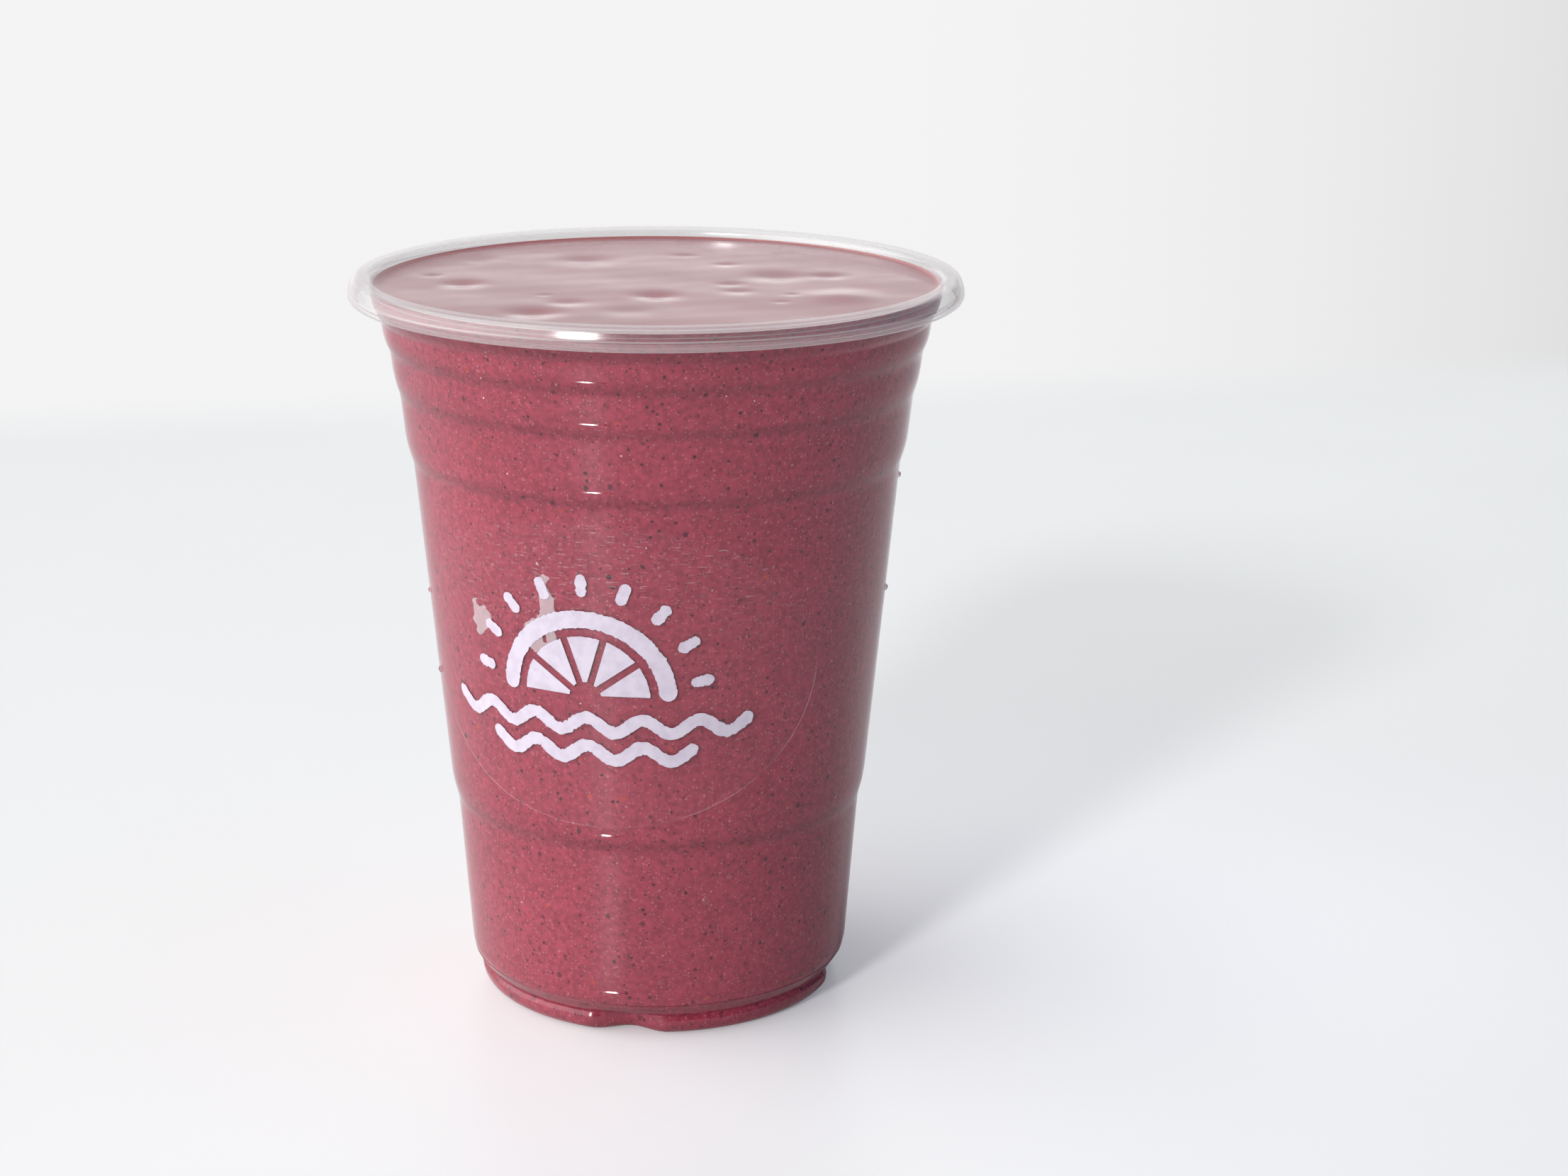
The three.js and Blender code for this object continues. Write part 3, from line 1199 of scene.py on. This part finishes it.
@dataclass
class Smoothie:
    """The drink, which fills the cup to the brim and reaches just into its sheet."""

    cup: CupSizes
    sides: int = 256
    rings: int = 84
    edge_rings: int = 14
    edge_width: float = 3.0
    crease: float = 60.0
    brim_z: float = 113.8
    meniscus_rise: float = 0.35
    meniscus_width: float = 0.6
    sways: tuple[Sway, ...] = (
        Sway(0.045, (0.21, 0.13, 0.4), (-0.11, 0.17, 1.9)),
        Sway(0.006, (0.52, -0.31, 0.0), (0.23, 0.61, 0.7)),
    )
    dent_fade: float = 5.0
    dent_depth: float = 0.42
    dents: tuple[Dent, ...] = (
        Dent(-18.1, -25.2, 3.4, 0.9),
        Dent(-13.4, -16.8, 2.4, 0.35),
        Dent(-0.2, -11.2, 2.9, 0.8),
        Dent(-17.1, -10.5, 0.9, 0.15),
        Dent(-29.9, -0.9, 2.7, 0.7),
        Dent(-35.2, 6.5, 1.3, 0.3),
        Dent(11.2, -1.0, 1.9, 0.3),
        Dent(12.2, -7.6, 2.2, 0.35),
        Dent(18.6, 6.0, 4.2, 0.7),
        Dent(26.7, 6.4, 2.4, 0.5),
        Dent(27.9, -11.8, 4.6, -0.7),
        Dent(-11.7, 20.9, 4.0, 0.6),
        Dent(20.4, -10.2, 1.1, 0.15),
        Dent(18.5, -16.4, 1.1, 0.15),
        Dent(4.4, 25.9, 1.7, 0.25),
        Dent(11.1, 17.2, 1.7, 0.25),
        Dent(-28.3, 22.1, 2.6, 0.3),
        Dent(-4.4, -24.5, 3.9, 0.3),
    )
    # The side's painted shade: the foot's crease, the ramps of the wall's steps and, at 110.3, the rim's
    # shadow.
    side: FruitPulp = FruitPulp(
        "smoothie_side", pulp=(0.308, 0.038, 0.066), seeds=1.0, froth=1.0, roughness=0.6, specular=0.1,
        grain=0.2, painted_shade_heights=(4.7, 32.7, 87.6, 98.3, 105.0, 110.3),
    )
    # The top's painted light: a brighter red between its edge radii, at the rim of its surface.
    top: FruitPulp = FruitPulp(
        "smoothie_top", pulp=(0.30, 0.06, 0.08), seeds=0.12, froth=0.0, roughness=0.16, specular=0.5,
        grain=0.0, edge_radii=(42.9, 43.8),
    )

    def build(self) -> bpy.types.Object:
        """Builds the drink's closed mesh, with one finish for its side and one for its top.

        Returns:
            The piece.
        """
        wall = offset(self.cup.skins(self.sides), self.cup.sheet / 2)
        above = int(np.argmax(wall[0, :, 1] > self.brim_z))
        low, high = wall[:, above - 1], wall[:, above]
        brim = low + (self.brim_z - low[0, 1]) / (high[0, 1] - low[0, 1]) * (high - low)
        profiles = np.concatenate([wall[:, :above], brim[:, None], self._top(float(brim[0, 0]))], axis=1)
        vertices, faces = revolve(profiles)
        finishes = [self.side.material(), self.top.material()]
        drink = make_piece("smoothie_fill", vertices, faces, finishes, self.crease)
        side_faces = self.sides * above
        indices = [0] * side_faces + [1] * (len(faces) - side_faces)
        drink.data.polygons.foreach_set("material_index", indices)
        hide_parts(CadNode.SMOOTHIE.value)
        return drink

    def _top(self, brim_radius: float) -> np.ndarray:
        """The drink's surface from its edge to its middle, with closer rings near the edge.

        Args:
            brim_radius: Radius of the surface's edge.

        Returns:
            An array of azimuth, point, and radius and height.
        """
        azimuths = (2 * math.pi * np.arange(self.sides) / self.sides)[:, None]
        edge = self.edge_width * (np.arange(1, self.edge_rings + 1) / self.edge_rings) ** 2
        inner = np.linspace(self.edge_width, brim_radius, self.rings + 1)[1:]
        radii = np.repeat((brim_radius - np.concatenate([edge, inner]))[None], self.sides, axis=0)
        top = np.stack([radii, self._surface(radii, azimuths, brim_radius)], axis=-1)
        top[:, -1, 1] = top[0, -1, 1]
        return top

    def _surface(self, radius: np.ndarray, azimuth: np.ndarray, brim_radius: float) -> np.ndarray:
        """Height of the drink's surface.

        Args:
            radius: Distance from the axis.
            azimuth: Azimuth of the point.
            brim_radius: Radius of the surface's edge.

        Returns:
            The height at each point.
        """
        x, y = radius * np.sin(azimuth), -radius * np.cos(azimuth)
        reach = brim_radius - radius
        hollow = sum(sway.hollow(x, y) for sway in self.sways)
        hollow = hollow + self.dent_depth * sum(dent.hollow(x, y) for dent in self.dents)
        rise = self.meniscus_rise * np.exp(-reach / self.meniscus_width)
        return self.brim_z - self.meniscus_rise + rise - smoothstep(reach, 0.0, self.dent_fade) * hollow


@dataclass
class PrintSheet:
    """Flat shapes of ink on the unrolled label, each a thin closed solid."""

    label: LabelSizes
    lift: float
    ink: float
    vertices: list[np.ndarray] = field(default_factory=list)
    faces: Faces = field(default_factory=list)

    def _lay(self, flat: np.ndarray) -> int:
        """Adds the under and upper points of a flat shape.

        Args:
            flat: Points along and up on the label.

        Returns:
            The index of the first under point; the upper points follow the under ones.
        """
        start = sum(len(part) for part in self.vertices)
        for outwards in (self.lift, self.lift + self.ink):
            self.vertices.append(self.label.wrap(flat[:, 0], flat[:, 1], np.full(len(flat), outwards)))
        return start

    def patch(self, outline: np.ndarray) -> None:
        """Adds a filled shape that its centre can see all of.

        Args:
            outline: Points of the outline, anticlockwise.
        """
        count = len(outline)
        start = self._lay(np.concatenate([outline, outline.mean(axis=0, keepdims=True)]))
        upper = start + count + 1
        for here in range(count):
            there = (here + 1) % count
            self.faces += [
                (upper + here, upper + there, upper + count),
                (start + there, start + here, start + count),
                (start + here, start + there, upper + there, upper + here),
            ]

    def stroke(self, path: np.ndarray, half_width: np.ndarray) -> None:
        """Adds a brush stroke along a path.

        Args:
            path: Points of the stroke's middle, from left to right.
            half_width: Half the stroke's width at each point.
        """
        runs = np.gradient(path, axis=0)
        runs /= np.linalg.norm(runs, axis=1, keepdims=True)
        aside = np.stack([-runs[:, 1], runs[:, 0]], axis=1) * half_width[:, None]
        outline = np.concatenate([path - aside, (path + aside)[::-1]])
        count, last = len(path), 2 * len(path) - 1
        start = self._lay(outline)
        upper = start + 2 * count
        for here in range(count - 1):
            across, next_across = last - here, last - here - 1
            self.faces += [
                (upper + here, upper + here + 1, upper + next_across, upper + across),
                (start + here + 1, start + here, start + across, start + next_across),
            ]
        for here in range(2 * count):
            there = (here + 1) % (2 * count)
            self.faces.append((start + here, start + there, upper + there, upper + here))


@dataclass
class OvalLabel:
    """The clear oval label and its generic print, a half slice of fruit rising over two waves."""

    sizes: LabelSizes
    lift: float = 0.03
    film: float = 0.06
    film_gap: float = 0.005
    ink: float = 0.03
    columns: int = 120
    rows: int = 24
    column_reach: float = 0.985
    middle: tuple[float, float] = (-1.0, -3.2)
    rind_radius: float = 12.6
    rind_half_width: float = 1.35
    segment_count: int = 5
    segment_radii: tuple[float, float] = (2.6, 9.9)
    segment_gap: float = 1.1
    ray_count: int = 9
    ray_reach: tuple[float, float] = (16.2, 20.0)
    ray_half_width: float = 0.85
    wave_spans: tuple[float, float] = (26.0, 17.4)
    wave_heights: tuple[float, float] = (-7.4, -11.9)
    wave_length: float = 8.7
    wave_depth: float = 1.1
    wave_half_width: float = 1.0
    brush_step: float = 0.32
    brush_roughness: float = 0.08
    brush_tip: float = 0.06
    crease: float = 30.0
    seed: int = 7

    def build(self) -> list[bpy.types.Object]:
        """Builds the film and the print on it.

        Returns:
            Both pieces.
        """
        film = self._film()
        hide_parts(CadNode.LABEL.value)
        return [film, self._print()]

    def _film(self) -> bpy.types.Object:
        """Builds the film: upright columns, each cut to the oval's height there.

        Returns:
            The piece.
        """
        turn = np.linspace(-1, 1, self.columns + 1) * self.column_reach * math.pi / 2
        along = np.repeat((np.sin(turn) * self.sizes.width / 2)[:, None], self.rows + 1, axis=1)
        up = np.cos(turn)[:, None] * np.linspace(-1, 1, self.rows + 1)[None] * self.sizes.height / 2
        layers = [self.sizes.wrap(along, up, np.full_like(up, outwards)).reshape(-1, 3)
                  for outwards in (self.lift, self.lift + self.film)]
        index = np.arange(along.size).reshape(along.shape)
        upper = index + along.size
        faces: Faces = []
        for column in range(self.columns):
            for row in range(self.rows):
                corners = [(column, row), (column + 1, row), (column + 1, row + 1), (column, row + 1)]
                faces.append(tuple(int(upper[corner]) for corner in corners))
                faces.append(tuple(int(index[corner]) for corner in corners[::-1]))
        border = [*index[:, 0], *index[-1, 1:], *index[-2::-1, -1], *index[0, -2:0:-1]]
        for here, there in zip(border, border[1:] + border[:1]):
            faces.append((int(here), int(there), int(there + along.size), int(here + along.size)))
        finishes = [ClearFilm(self.sizes).material()]
        return make_piece("label_film", np.concatenate(layers), faces, finishes)

    def _print(self) -> bpy.types.Object:
        """Builds the ink of the fruit slice, its rays and the waves.

        Returns:
            The piece.
        """
        draw = np.random.default_rng(self.seed)
        sheet = PrintSheet(self.sizes, self.lift + self.film + self.film_gap, self.ink)
        self._brush(sheet, self._round(self.rind_radius, math.pi, 0.0), self.rind_half_width, draw)
        for place in range(self.segment_count):
            self._segment(sheet, place, draw)
        for place in range(self.ray_count):
            self._brush(sheet, self._ray(place), self.ray_half_width, draw)
        for span, height in zip(self.wave_spans, self.wave_heights):
            self._brush(sheet, self._wave(span, height), self.wave_half_width, draw)
        vertices = np.concatenate(sheet.vertices)
        finishes = [LabelInk().material()]
        return make_piece("label_print", vertices, sheet.faces, finishes, self.crease)

    def _brush(self, sheet: PrintSheet, path: np.ndarray, half_width: float,
               draw: np.random.Generator) -> None:
        """Draws a stroke with round ends and a slightly ragged edge.

        Args:
            sheet: The print, which grows.
            path: Closely spaced points of the stroke's middle.
            half_width: Half the stroke's width.
            draw: The seeded source of chance.
        """
        run = np.concatenate([[0.0], np.cumsum(np.linalg.norm(np.diff(path, axis=0), axis=1))])
        from_end = np.minimum(run, run[-1] - run) / half_width
        rounded = np.sqrt(np.clip(1 - (1 - np.clip(from_end, 0.0, 1.0)) ** 2, self.brush_tip, 1.0))
        ragged = draw.normal(0.0, self.brush_roughness, len(path))
        sheet.stroke(path, half_width * rounded + ragged * rounded)

    def _round(self, radius: float, start: float, end: float) -> np.ndarray:
        """Points on a circle round the slice's middle.

        Args:
            radius: The circle's radius.
            start: The angle of the first point, from the right.
            end: The angle of the last point.

        Returns:
            The points, about a brush step apart.
        """
        count = max(3, round(abs(end - start) * radius / self.brush_step))
        angles = np.linspace(start, end, count)
        return np.array(self.middle) + radius * np.stack([np.cos(angles), np.sin(angles)], axis=1)

    def _segment(self, sheet: PrintSheet, place: int, draw: np.random.Generator) -> None:
        """Draws one segment of the slice, as wide as its gaps allow at each radius.

        Args:
            sheet: The print, which grows.
            place: The segment's place, from the right.
            draw: The seeded source of chance.
        """
        share = math.pi / self.segment_count
        middle = share * (place + 0.5)
        low, high = self.segment_radii
        outline = []
        for radius, order in ((low, -1), (high, 1)):
            half = share / 2 - self.segment_gap / 2 / radius
            outline.append(self._round(radius, middle - order * half, middle + order * half))
        points = np.concatenate(outline)
        sheet.patch(points + draw.normal(0.0, self.brush_roughness / 2, points.shape))

    def _ray(self, place: int) -> np.ndarray:
        """The middle of one short ray outside the rind.

        Args:
            place: The ray's place, from the right.

        Returns:
            Closely spaced points.
        """
        angle = math.pi * (place + 0.5) / self.ray_count
        radii = np.arange(*self.ray_reach, self.brush_step)
        return np.array(self.middle) + radii[:, None] * np.array([math.cos(angle), math.sin(angle)])

    def _wave(self, span: float, height: float) -> np.ndarray:
        """The middle of one wavy stroke.

        Args:
            span: How far it reaches to each side.
            height: Its height on the label.

        Returns:
            Closely spaced points.
        """
        along = np.arange(-span, span, self.brush_step)
        up = height + self.wave_depth * np.cos(2 * math.pi * along / self.wave_length)
        return np.stack([self.middle[0] + along, up], axis=1)


@dataclass(frozen=True)
class Bead:
    """A drop of water on the wall, at an azimuth in degrees."""

    azimuth: float
    z: float
    radius: float


@dataclass
class WaterBeads:
    """Small drops of water that cling to the wall."""

    cup: CupSizes
    shown: tuple[Bead, ...] = (
        Bead(12.8, 23.5, 0.8),
        Bead(0.2, 10.0, 0.5),
        Bead(19.3, 27.1, 0.5),
        Bead(37.2, 37.0, 0.45),
        Bead(46.0, 14.2, 0.55),
        Bead(-78.0, 53.5, 0.55),
        Bead(-81.0, 66.0, 0.45),
        Bead(82.0, 66.0, 0.55),
        Bead(84.0, 84.0, 0.5),
    )
    hidden_count: int = 22
    hidden_azimuths: tuple[float, float] = (95.0, 265.0)
    hidden_heights: tuple[float, float] = (8.0, 84.0)
    hidden_sizes: tuple[float, float] = (0.3, 0.85)
    flatness: float = 0.36
    sunk: float = 0.06
    sag: float = 0.16
    rings: int = 8
    spokes: int = 24
    seed: int = 11

    def build(self) -> bpy.types.Object:
        """Builds all the drops as one piece.

        Returns:
            The piece.
        """
        vertices, faces = [], []
        skin = self.cup.skin()
        wall = skin[self.cup.wall_span(skin)]
        for bead in self._all():
            faces += self._dome_faces(sum(len(part) for part in vertices))
            vertices.append(self._dome(bead, float(np.interp(bead.z, wall[:, 1], wall[:, 0]))))
        finishes = [Water().material()]
        return make_piece("water_beads", np.concatenate(vertices), faces, finishes)

    def _all(self) -> list[Bead]:
        """The drops that show in front, and more of them scattered over the rest of the wall.

        Returns:
            All the drops.
        """
        draw = np.random.default_rng(self.seed)
        ranges = (self.hidden_azimuths, self.hidden_heights, self.hidden_sizes)
        scattered = [Bead(*(draw.uniform(*limits) for limits in ranges)) for _ in range(self.hidden_count)]
        return [*self.shown, *scattered]

    def _dome(self, bead: Bead, radius: float) -> np.ndarray:
        """Points of one drop: its crest, rings down to its rim, and a point in the wall below.

        Args:
            bead: The drop.
            radius: The wall's radius there.

        Returns:
            The points in the shared frame.
        """
        azimuth = math.radians(bead.azimuth)
        outwards = np.array([math.sin(azimuth), -math.cos(azimuth), 0.0])
        across = np.array([math.cos(azimuth), math.sin(azimuth), 0.0])
        upwards = np.array([0.0, 0.0, 1.0])
        centre = radius * outwards + bead.z * upwards
        height = 2 * self.flatness * bead.radius
        points = [centre + height * outwards]
        for ring in range(1, self.rings + 1):
            tilt = ring / self.rings * math.pi / 2
            out = height * math.cos(tilt) - self.sunk * ring / self.rings
            spread = bead.radius * math.sin(tilt)
            for spoke in range(self.spokes):
                turn = 2 * math.pi * spoke / self.spokes
                rise = spread * (1.0 - self.sag * math.sin(turn)) * math.sin(turn)
                points.append(centre + out * outwards + spread * math.cos(turn) * across + rise * upwards)
        points.append(centre - self.sunk * outwards)
        return np.array(points)

    def _dome_faces(self, start: int) -> Faces:
        """Faces of one drop.

        Args:
            start: Index of the drop's first point.

        Returns:
            The faces, pointing out.
        """
        faces: Faces = []
        last = start + self.rings * self.spokes + 1
        for spoke in range(self.spokes):
            there = (spoke + 1) % self.spokes
            faces.append((start, start + 1 + spoke, start + 1 + there))
            for ring in range(self.rings - 1):
                low = start + 1 + ring * self.spokes
                high = low + self.spokes
                faces.append((low + spoke, high + spoke, high + there, low + there))
            rim = start + 1 + (self.rings - 1) * self.spokes
            faces.append((rim + there, rim + spoke, last))
        return faces


@dataclass(frozen=True)
class SoftLight:
    """A round studio lamp aimed at the cup."""

    name: str
    azimuth: float
    elevation: float
    distance: float
    diameter: float
    power: float
    colour: Colour = (1.0, 1.0, 1.0)
    target_z: float = 60.0

    def build(self) -> bpy.types.Object:
        """Builds the lamp.

        Returns:
            The lamp's object.
        """
        azimuth, elevation = math.radians(self.azimuth), math.radians(self.elevation)
        level = math.cos(elevation)
        towards = Vector((math.sin(azimuth) * level, -math.cos(azimuth) * level, math.sin(elevation)))
        light = bpy.data.lights.new(self.name, "AREA")
        light.shape = "DISK"
        light.size = self.diameter * MM
        light.energy = self.power
        light.color = self.colour
        lamp = bpy.data.objects.new(self.name, light)
        lamp.location = (towards * self.distance + Vector((0.0, 0.0, self.target_z))) * MM
        lamp.rotation_euler = towards.to_track_quat("Z", "Y").to_euler()
        bpy.context.scene.collection.objects.link(lamp)
        return lamp


@dataclass(frozen=True)
class WhiteTable(Finish):
    """The table's satin white, which runs into a wall that glows a little less to the right."""

    floor_z: float
    name: str = "white_table"
    colour: Colour = (0.885, 0.885, 0.89)
    roughness: float = 0.36
    cloud_period: float = 60.0
    cloud: tuple[float, float] = (0.95, 1.05)
    lift_colour: Colour = (0.062, 0.08, 0.076)
    # Painted light: a pool that glows beside the cup, over its shadow, seen only by the camera.
    fill_colour: Colour = (0.19, 0.19, 0.215)
    fill_centre: tuple[float, float] = (75.0, 10.0)
    fill_spread: float = 80.0
    wall_colour: Colour = (0.9, 0.9, 0.9)
    wall_start: float = 442.0
    wall_slope: float = 0.17
    wall_blend: float = 35.0
    wall_dims_from: float = 0.05
    wall_dimming: float = 2.3
    wall_fan: float = 450.0

    def shader(self, bench: NodeBench) -> Socket:
        """Builds the table's shader and, far behind the cup, the wall's.

        Args:
            bench: The bench on the material's tree.

        Returns:
            The shader for the material's surface.
        """
        point = bench.point()
        foot = bench.math("MULTIPLY_ADD", point[0], self.wall_slope, self.wall_start * MM)
        behind = bench.math("SUBTRACT", point[1], foot)
        far = bench.ease(behind, -self.wall_blend * MM, self.wall_blend * MM)
        cloud = bench.mottle(self.cloud_period, *self.cloud)
        table = bench.add("ShaderNodeBsdfPrincipled", {
            "Base Color": opaque(self.colour), "Roughness": bench.math("MULTIPLY", cloud, self.roughness),
            "Emission Color": self._lift(bench), "Emission Strength": 1.0,
        })
        return bench.blend(far, table.outputs[0], self._wall(bench, point))

    def _lift(self, bench: NodeBench) -> Socket:
        """Light that lifts the table where it is seen, seen only by the camera: an even lift over all of it
        and a painted pool of light beside the cup, over the cup's shadow.

        Args:
            bench: The bench on the material's tree.

        Returns:
            The light's colour.
        """
        centre = tuple(length * MM for length in (*self.fill_centre, self.floor_z))
        off = bench.vector("DISTANCE", bench.place(), centre, output="Value")
        spread = bench.math("POWER", bench.math("DIVIDE", off, self.fill_spread * MM), 2.0)
        fill = bench.scale(self.fill_colour, bench.math("EXPONENT", bench.math("MULTIPLY", spread, -1.0)))
        seen = bench.add("ShaderNodeLightPath").outputs["Is Camera Ray"]
        return bench.scale(bench.vector("ADD", fill, self.lift_colour), seen)

    def _wall(self, bench: NodeBench, point: Sequence[Socket]) -> Socket:
        """The glowing wall, which fades to the right.

        Args:
            bench: The bench on the material's tree.
            point: The coordinates of the point.

        Returns:
            The wall's shader.
        """
        aside = bench.math("DIVIDE", point[0], bench.math("ADD", point[1], self.wall_fan * MM))
        beyond = bench.math("MAXIMUM", bench.math("SUBTRACT", aside, self.wall_dims_from), 0.0)
        dim = bench.math("MULTIPLY", bench.math("POWER", beyond, 2.0), self.wall_dimming)
        tone = bench.scale(self.wall_colour, bench.math("SUBTRACT", 1.0, dim))
        return bench.add("ShaderNodeEmission", {"Color": tone}).outputs[0]


@dataclass(frozen=True)
class Glow:
    """Soft light from one side of the room."""

    towards: tuple[float, float, float]
    starts: float
    full: float
    colour: Colour


@dataclass
class Studio:
    """A white table that runs into a pale backdrop, a small key lamp and soft light all round."""

    floor_radius: float = 3000.0
    floor_z: float = -0.05
    floor_sides: int = 96
    key: SoftLight = SoftLight("key_lamp", -30.0, 27.0, 1500.0, 225.0, 10.6)
    seen_colour: Colour = (0.9, 0.9, 0.9)
    glows: tuple[Glow, ...] = (
        Glow((0.0, 0.985, 0.17), 0.8, 0.97, (0.83, 0.83, 0.83)),
        Glow((0.0, 0.766, -0.643), 0.634, 0.652, (0.32, 0.32, 0.32)),
        Glow((0.0, 0.766, -0.643), 0.648, 0.656, (0.25, 0.25, 0.25)),
        Glow((-0.866, 0.0, 0.5), 0.5, 0.95, (1.76, 1.76, 1.76)),
        Glow((-0.94, -0.3, 0.17), 0.5, 0.95, (0.92, 0.92, 0.92)),
        Glow((0.0, 0.0, 1.0), 0.5, 0.95, (0.19, 0.19, 0.19)),
        Glow((0.866, 0.0, 0.5), 0.5, 0.95, (0.17, 0.16, 0.25)),
    )

    def build(self) -> None:
        """Builds the table, the lamp and the light all round."""
        self._floor()
        self.key.build()
        self._surroundings()

    def _floor(self) -> None:
        """Builds the table top as a disc."""
        angles = 2 * math.pi * np.arange(self.floor_sides) / self.floor_sides
        points = np.stack([np.cos(angles), np.sin(angles), np.zeros(len(angles))], axis=1) * self.floor_radius
        points[:, 2] = self.floor_z
        mesh = bpy.data.meshes.new("table_top")
        mesh.from_pydata((points * MM).tolist(), [], [tuple(range(self.floor_sides))])
        mesh.materials.append(WhiteTable(self.floor_z).material())
        floor = bpy.data.objects.new("table_top", mesh)
        bpy.context.scene.collection.objects.link(floor)

    def _surroundings(self) -> None:
        """The light all round: bright behind, to the left and above, dim in front and to the right."""
        world = bpy.data.worlds.new("surroundings")
        world.use_nodes = True
        world.node_tree.nodes.clear()
        bench = NodeBench(world.node_tree)
        ray = bench.add("ShaderNodeTexCoord").outputs["Generated"]
        light: Wire = (0.0, 0.0, 0.0)
        for glow in self.glows:
            facing = bench.vector("DOT_PRODUCT", ray, glow.towards, output="Value")
            lobe = bench.scale(glow.colour, bench.ease(facing, glow.starts, glow.full))
            light = bench.vector("ADD", light, lobe)
        seen = bench.add("ShaderNodeLightPath").outputs["Is Camera Ray"]
        around = bench.add("ShaderNodeBackground", {"Color": light}).outputs[0]
        backdrop = bench.add("ShaderNodeBackground", {"Color": opaque(self.seen_colour)}).outputs[0]
        bench.add("ShaderNodeOutputWorld", {"Surface": bench.blend(seen, around, backdrop)})
        bpy.context.scene.world = world


@dataclass(frozen=True)
class PhotoCamera:
    """The camera at the photograph's viewing angle."""

    distance: float = 450.0
    height: float = 191.64
    pitch: float = math.radians(15.78)
    yaw: float = math.radians(2.546)
    roll: float = math.radians(0.483)
    lens: float = 67.39
    sensor: float = 36.0
    nearest: float = 10.0

    def build(self) -> bpy.types.Object:
        """Builds the camera and makes it the scene's own.

        Returns:
            The camera's object.
        """
        flat = math.cos(self.pitch)
        forward = Vector((math.sin(self.yaw) * flat, math.cos(self.yaw) * flat, -math.sin(self.pitch)))
        level = Vector((math.cos(self.yaw), -math.sin(self.yaw), 0.0))
        upright = level.cross(forward)
        right = math.cos(self.roll) * level + math.sin(self.roll) * upright
        up = math.cos(self.roll) * upright - math.sin(self.roll) * level
        data = bpy.data.cameras.new("photo_camera")
        data.lens = self.lens
        data.sensor_width = self.sensor
        data.sensor_fit = "HORIZONTAL"
        data.clip_start = self.nearest * MM
        camera = bpy.data.objects.new("photo_camera", data)
        turn = Matrix((right, up, -forward)).transposed().to_4x4()
        camera.matrix_world = Matrix.Translation(Vector((0.0, -self.distance, self.height)) * MM) @ turn
        bpy.context.scene.collection.objects.link(camera)
        bpy.context.scene.camera = camera
        return camera


def main() -> None:
    """Builds the studio and then the dressed part, and reports each piece."""
    logging.basicConfig(level=logging.INFO, format="%(name)s: %(message)s")
    bpy.context.scene.view_settings.view_transform = "Standard"
    PhotoCamera().build()
    Studio().build()
    cup_sizes = CupSizes()
    label_sizes = LabelSizes(cup_sizes.panel)
    pieces = [ClearCup(cup_sizes, label_sizes).build()]
    pieces.append(Smoothie(cup_sizes).build())
    pieces.extend(OvalLabel(label_sizes).build())
    pieces.append(WaterBeads(cup_sizes).build())
    for piece in pieces:
        LOG.info("%s: %d faces", piece.name, len(piece.data.polygons))


if __name__ == "__main__":
    main()
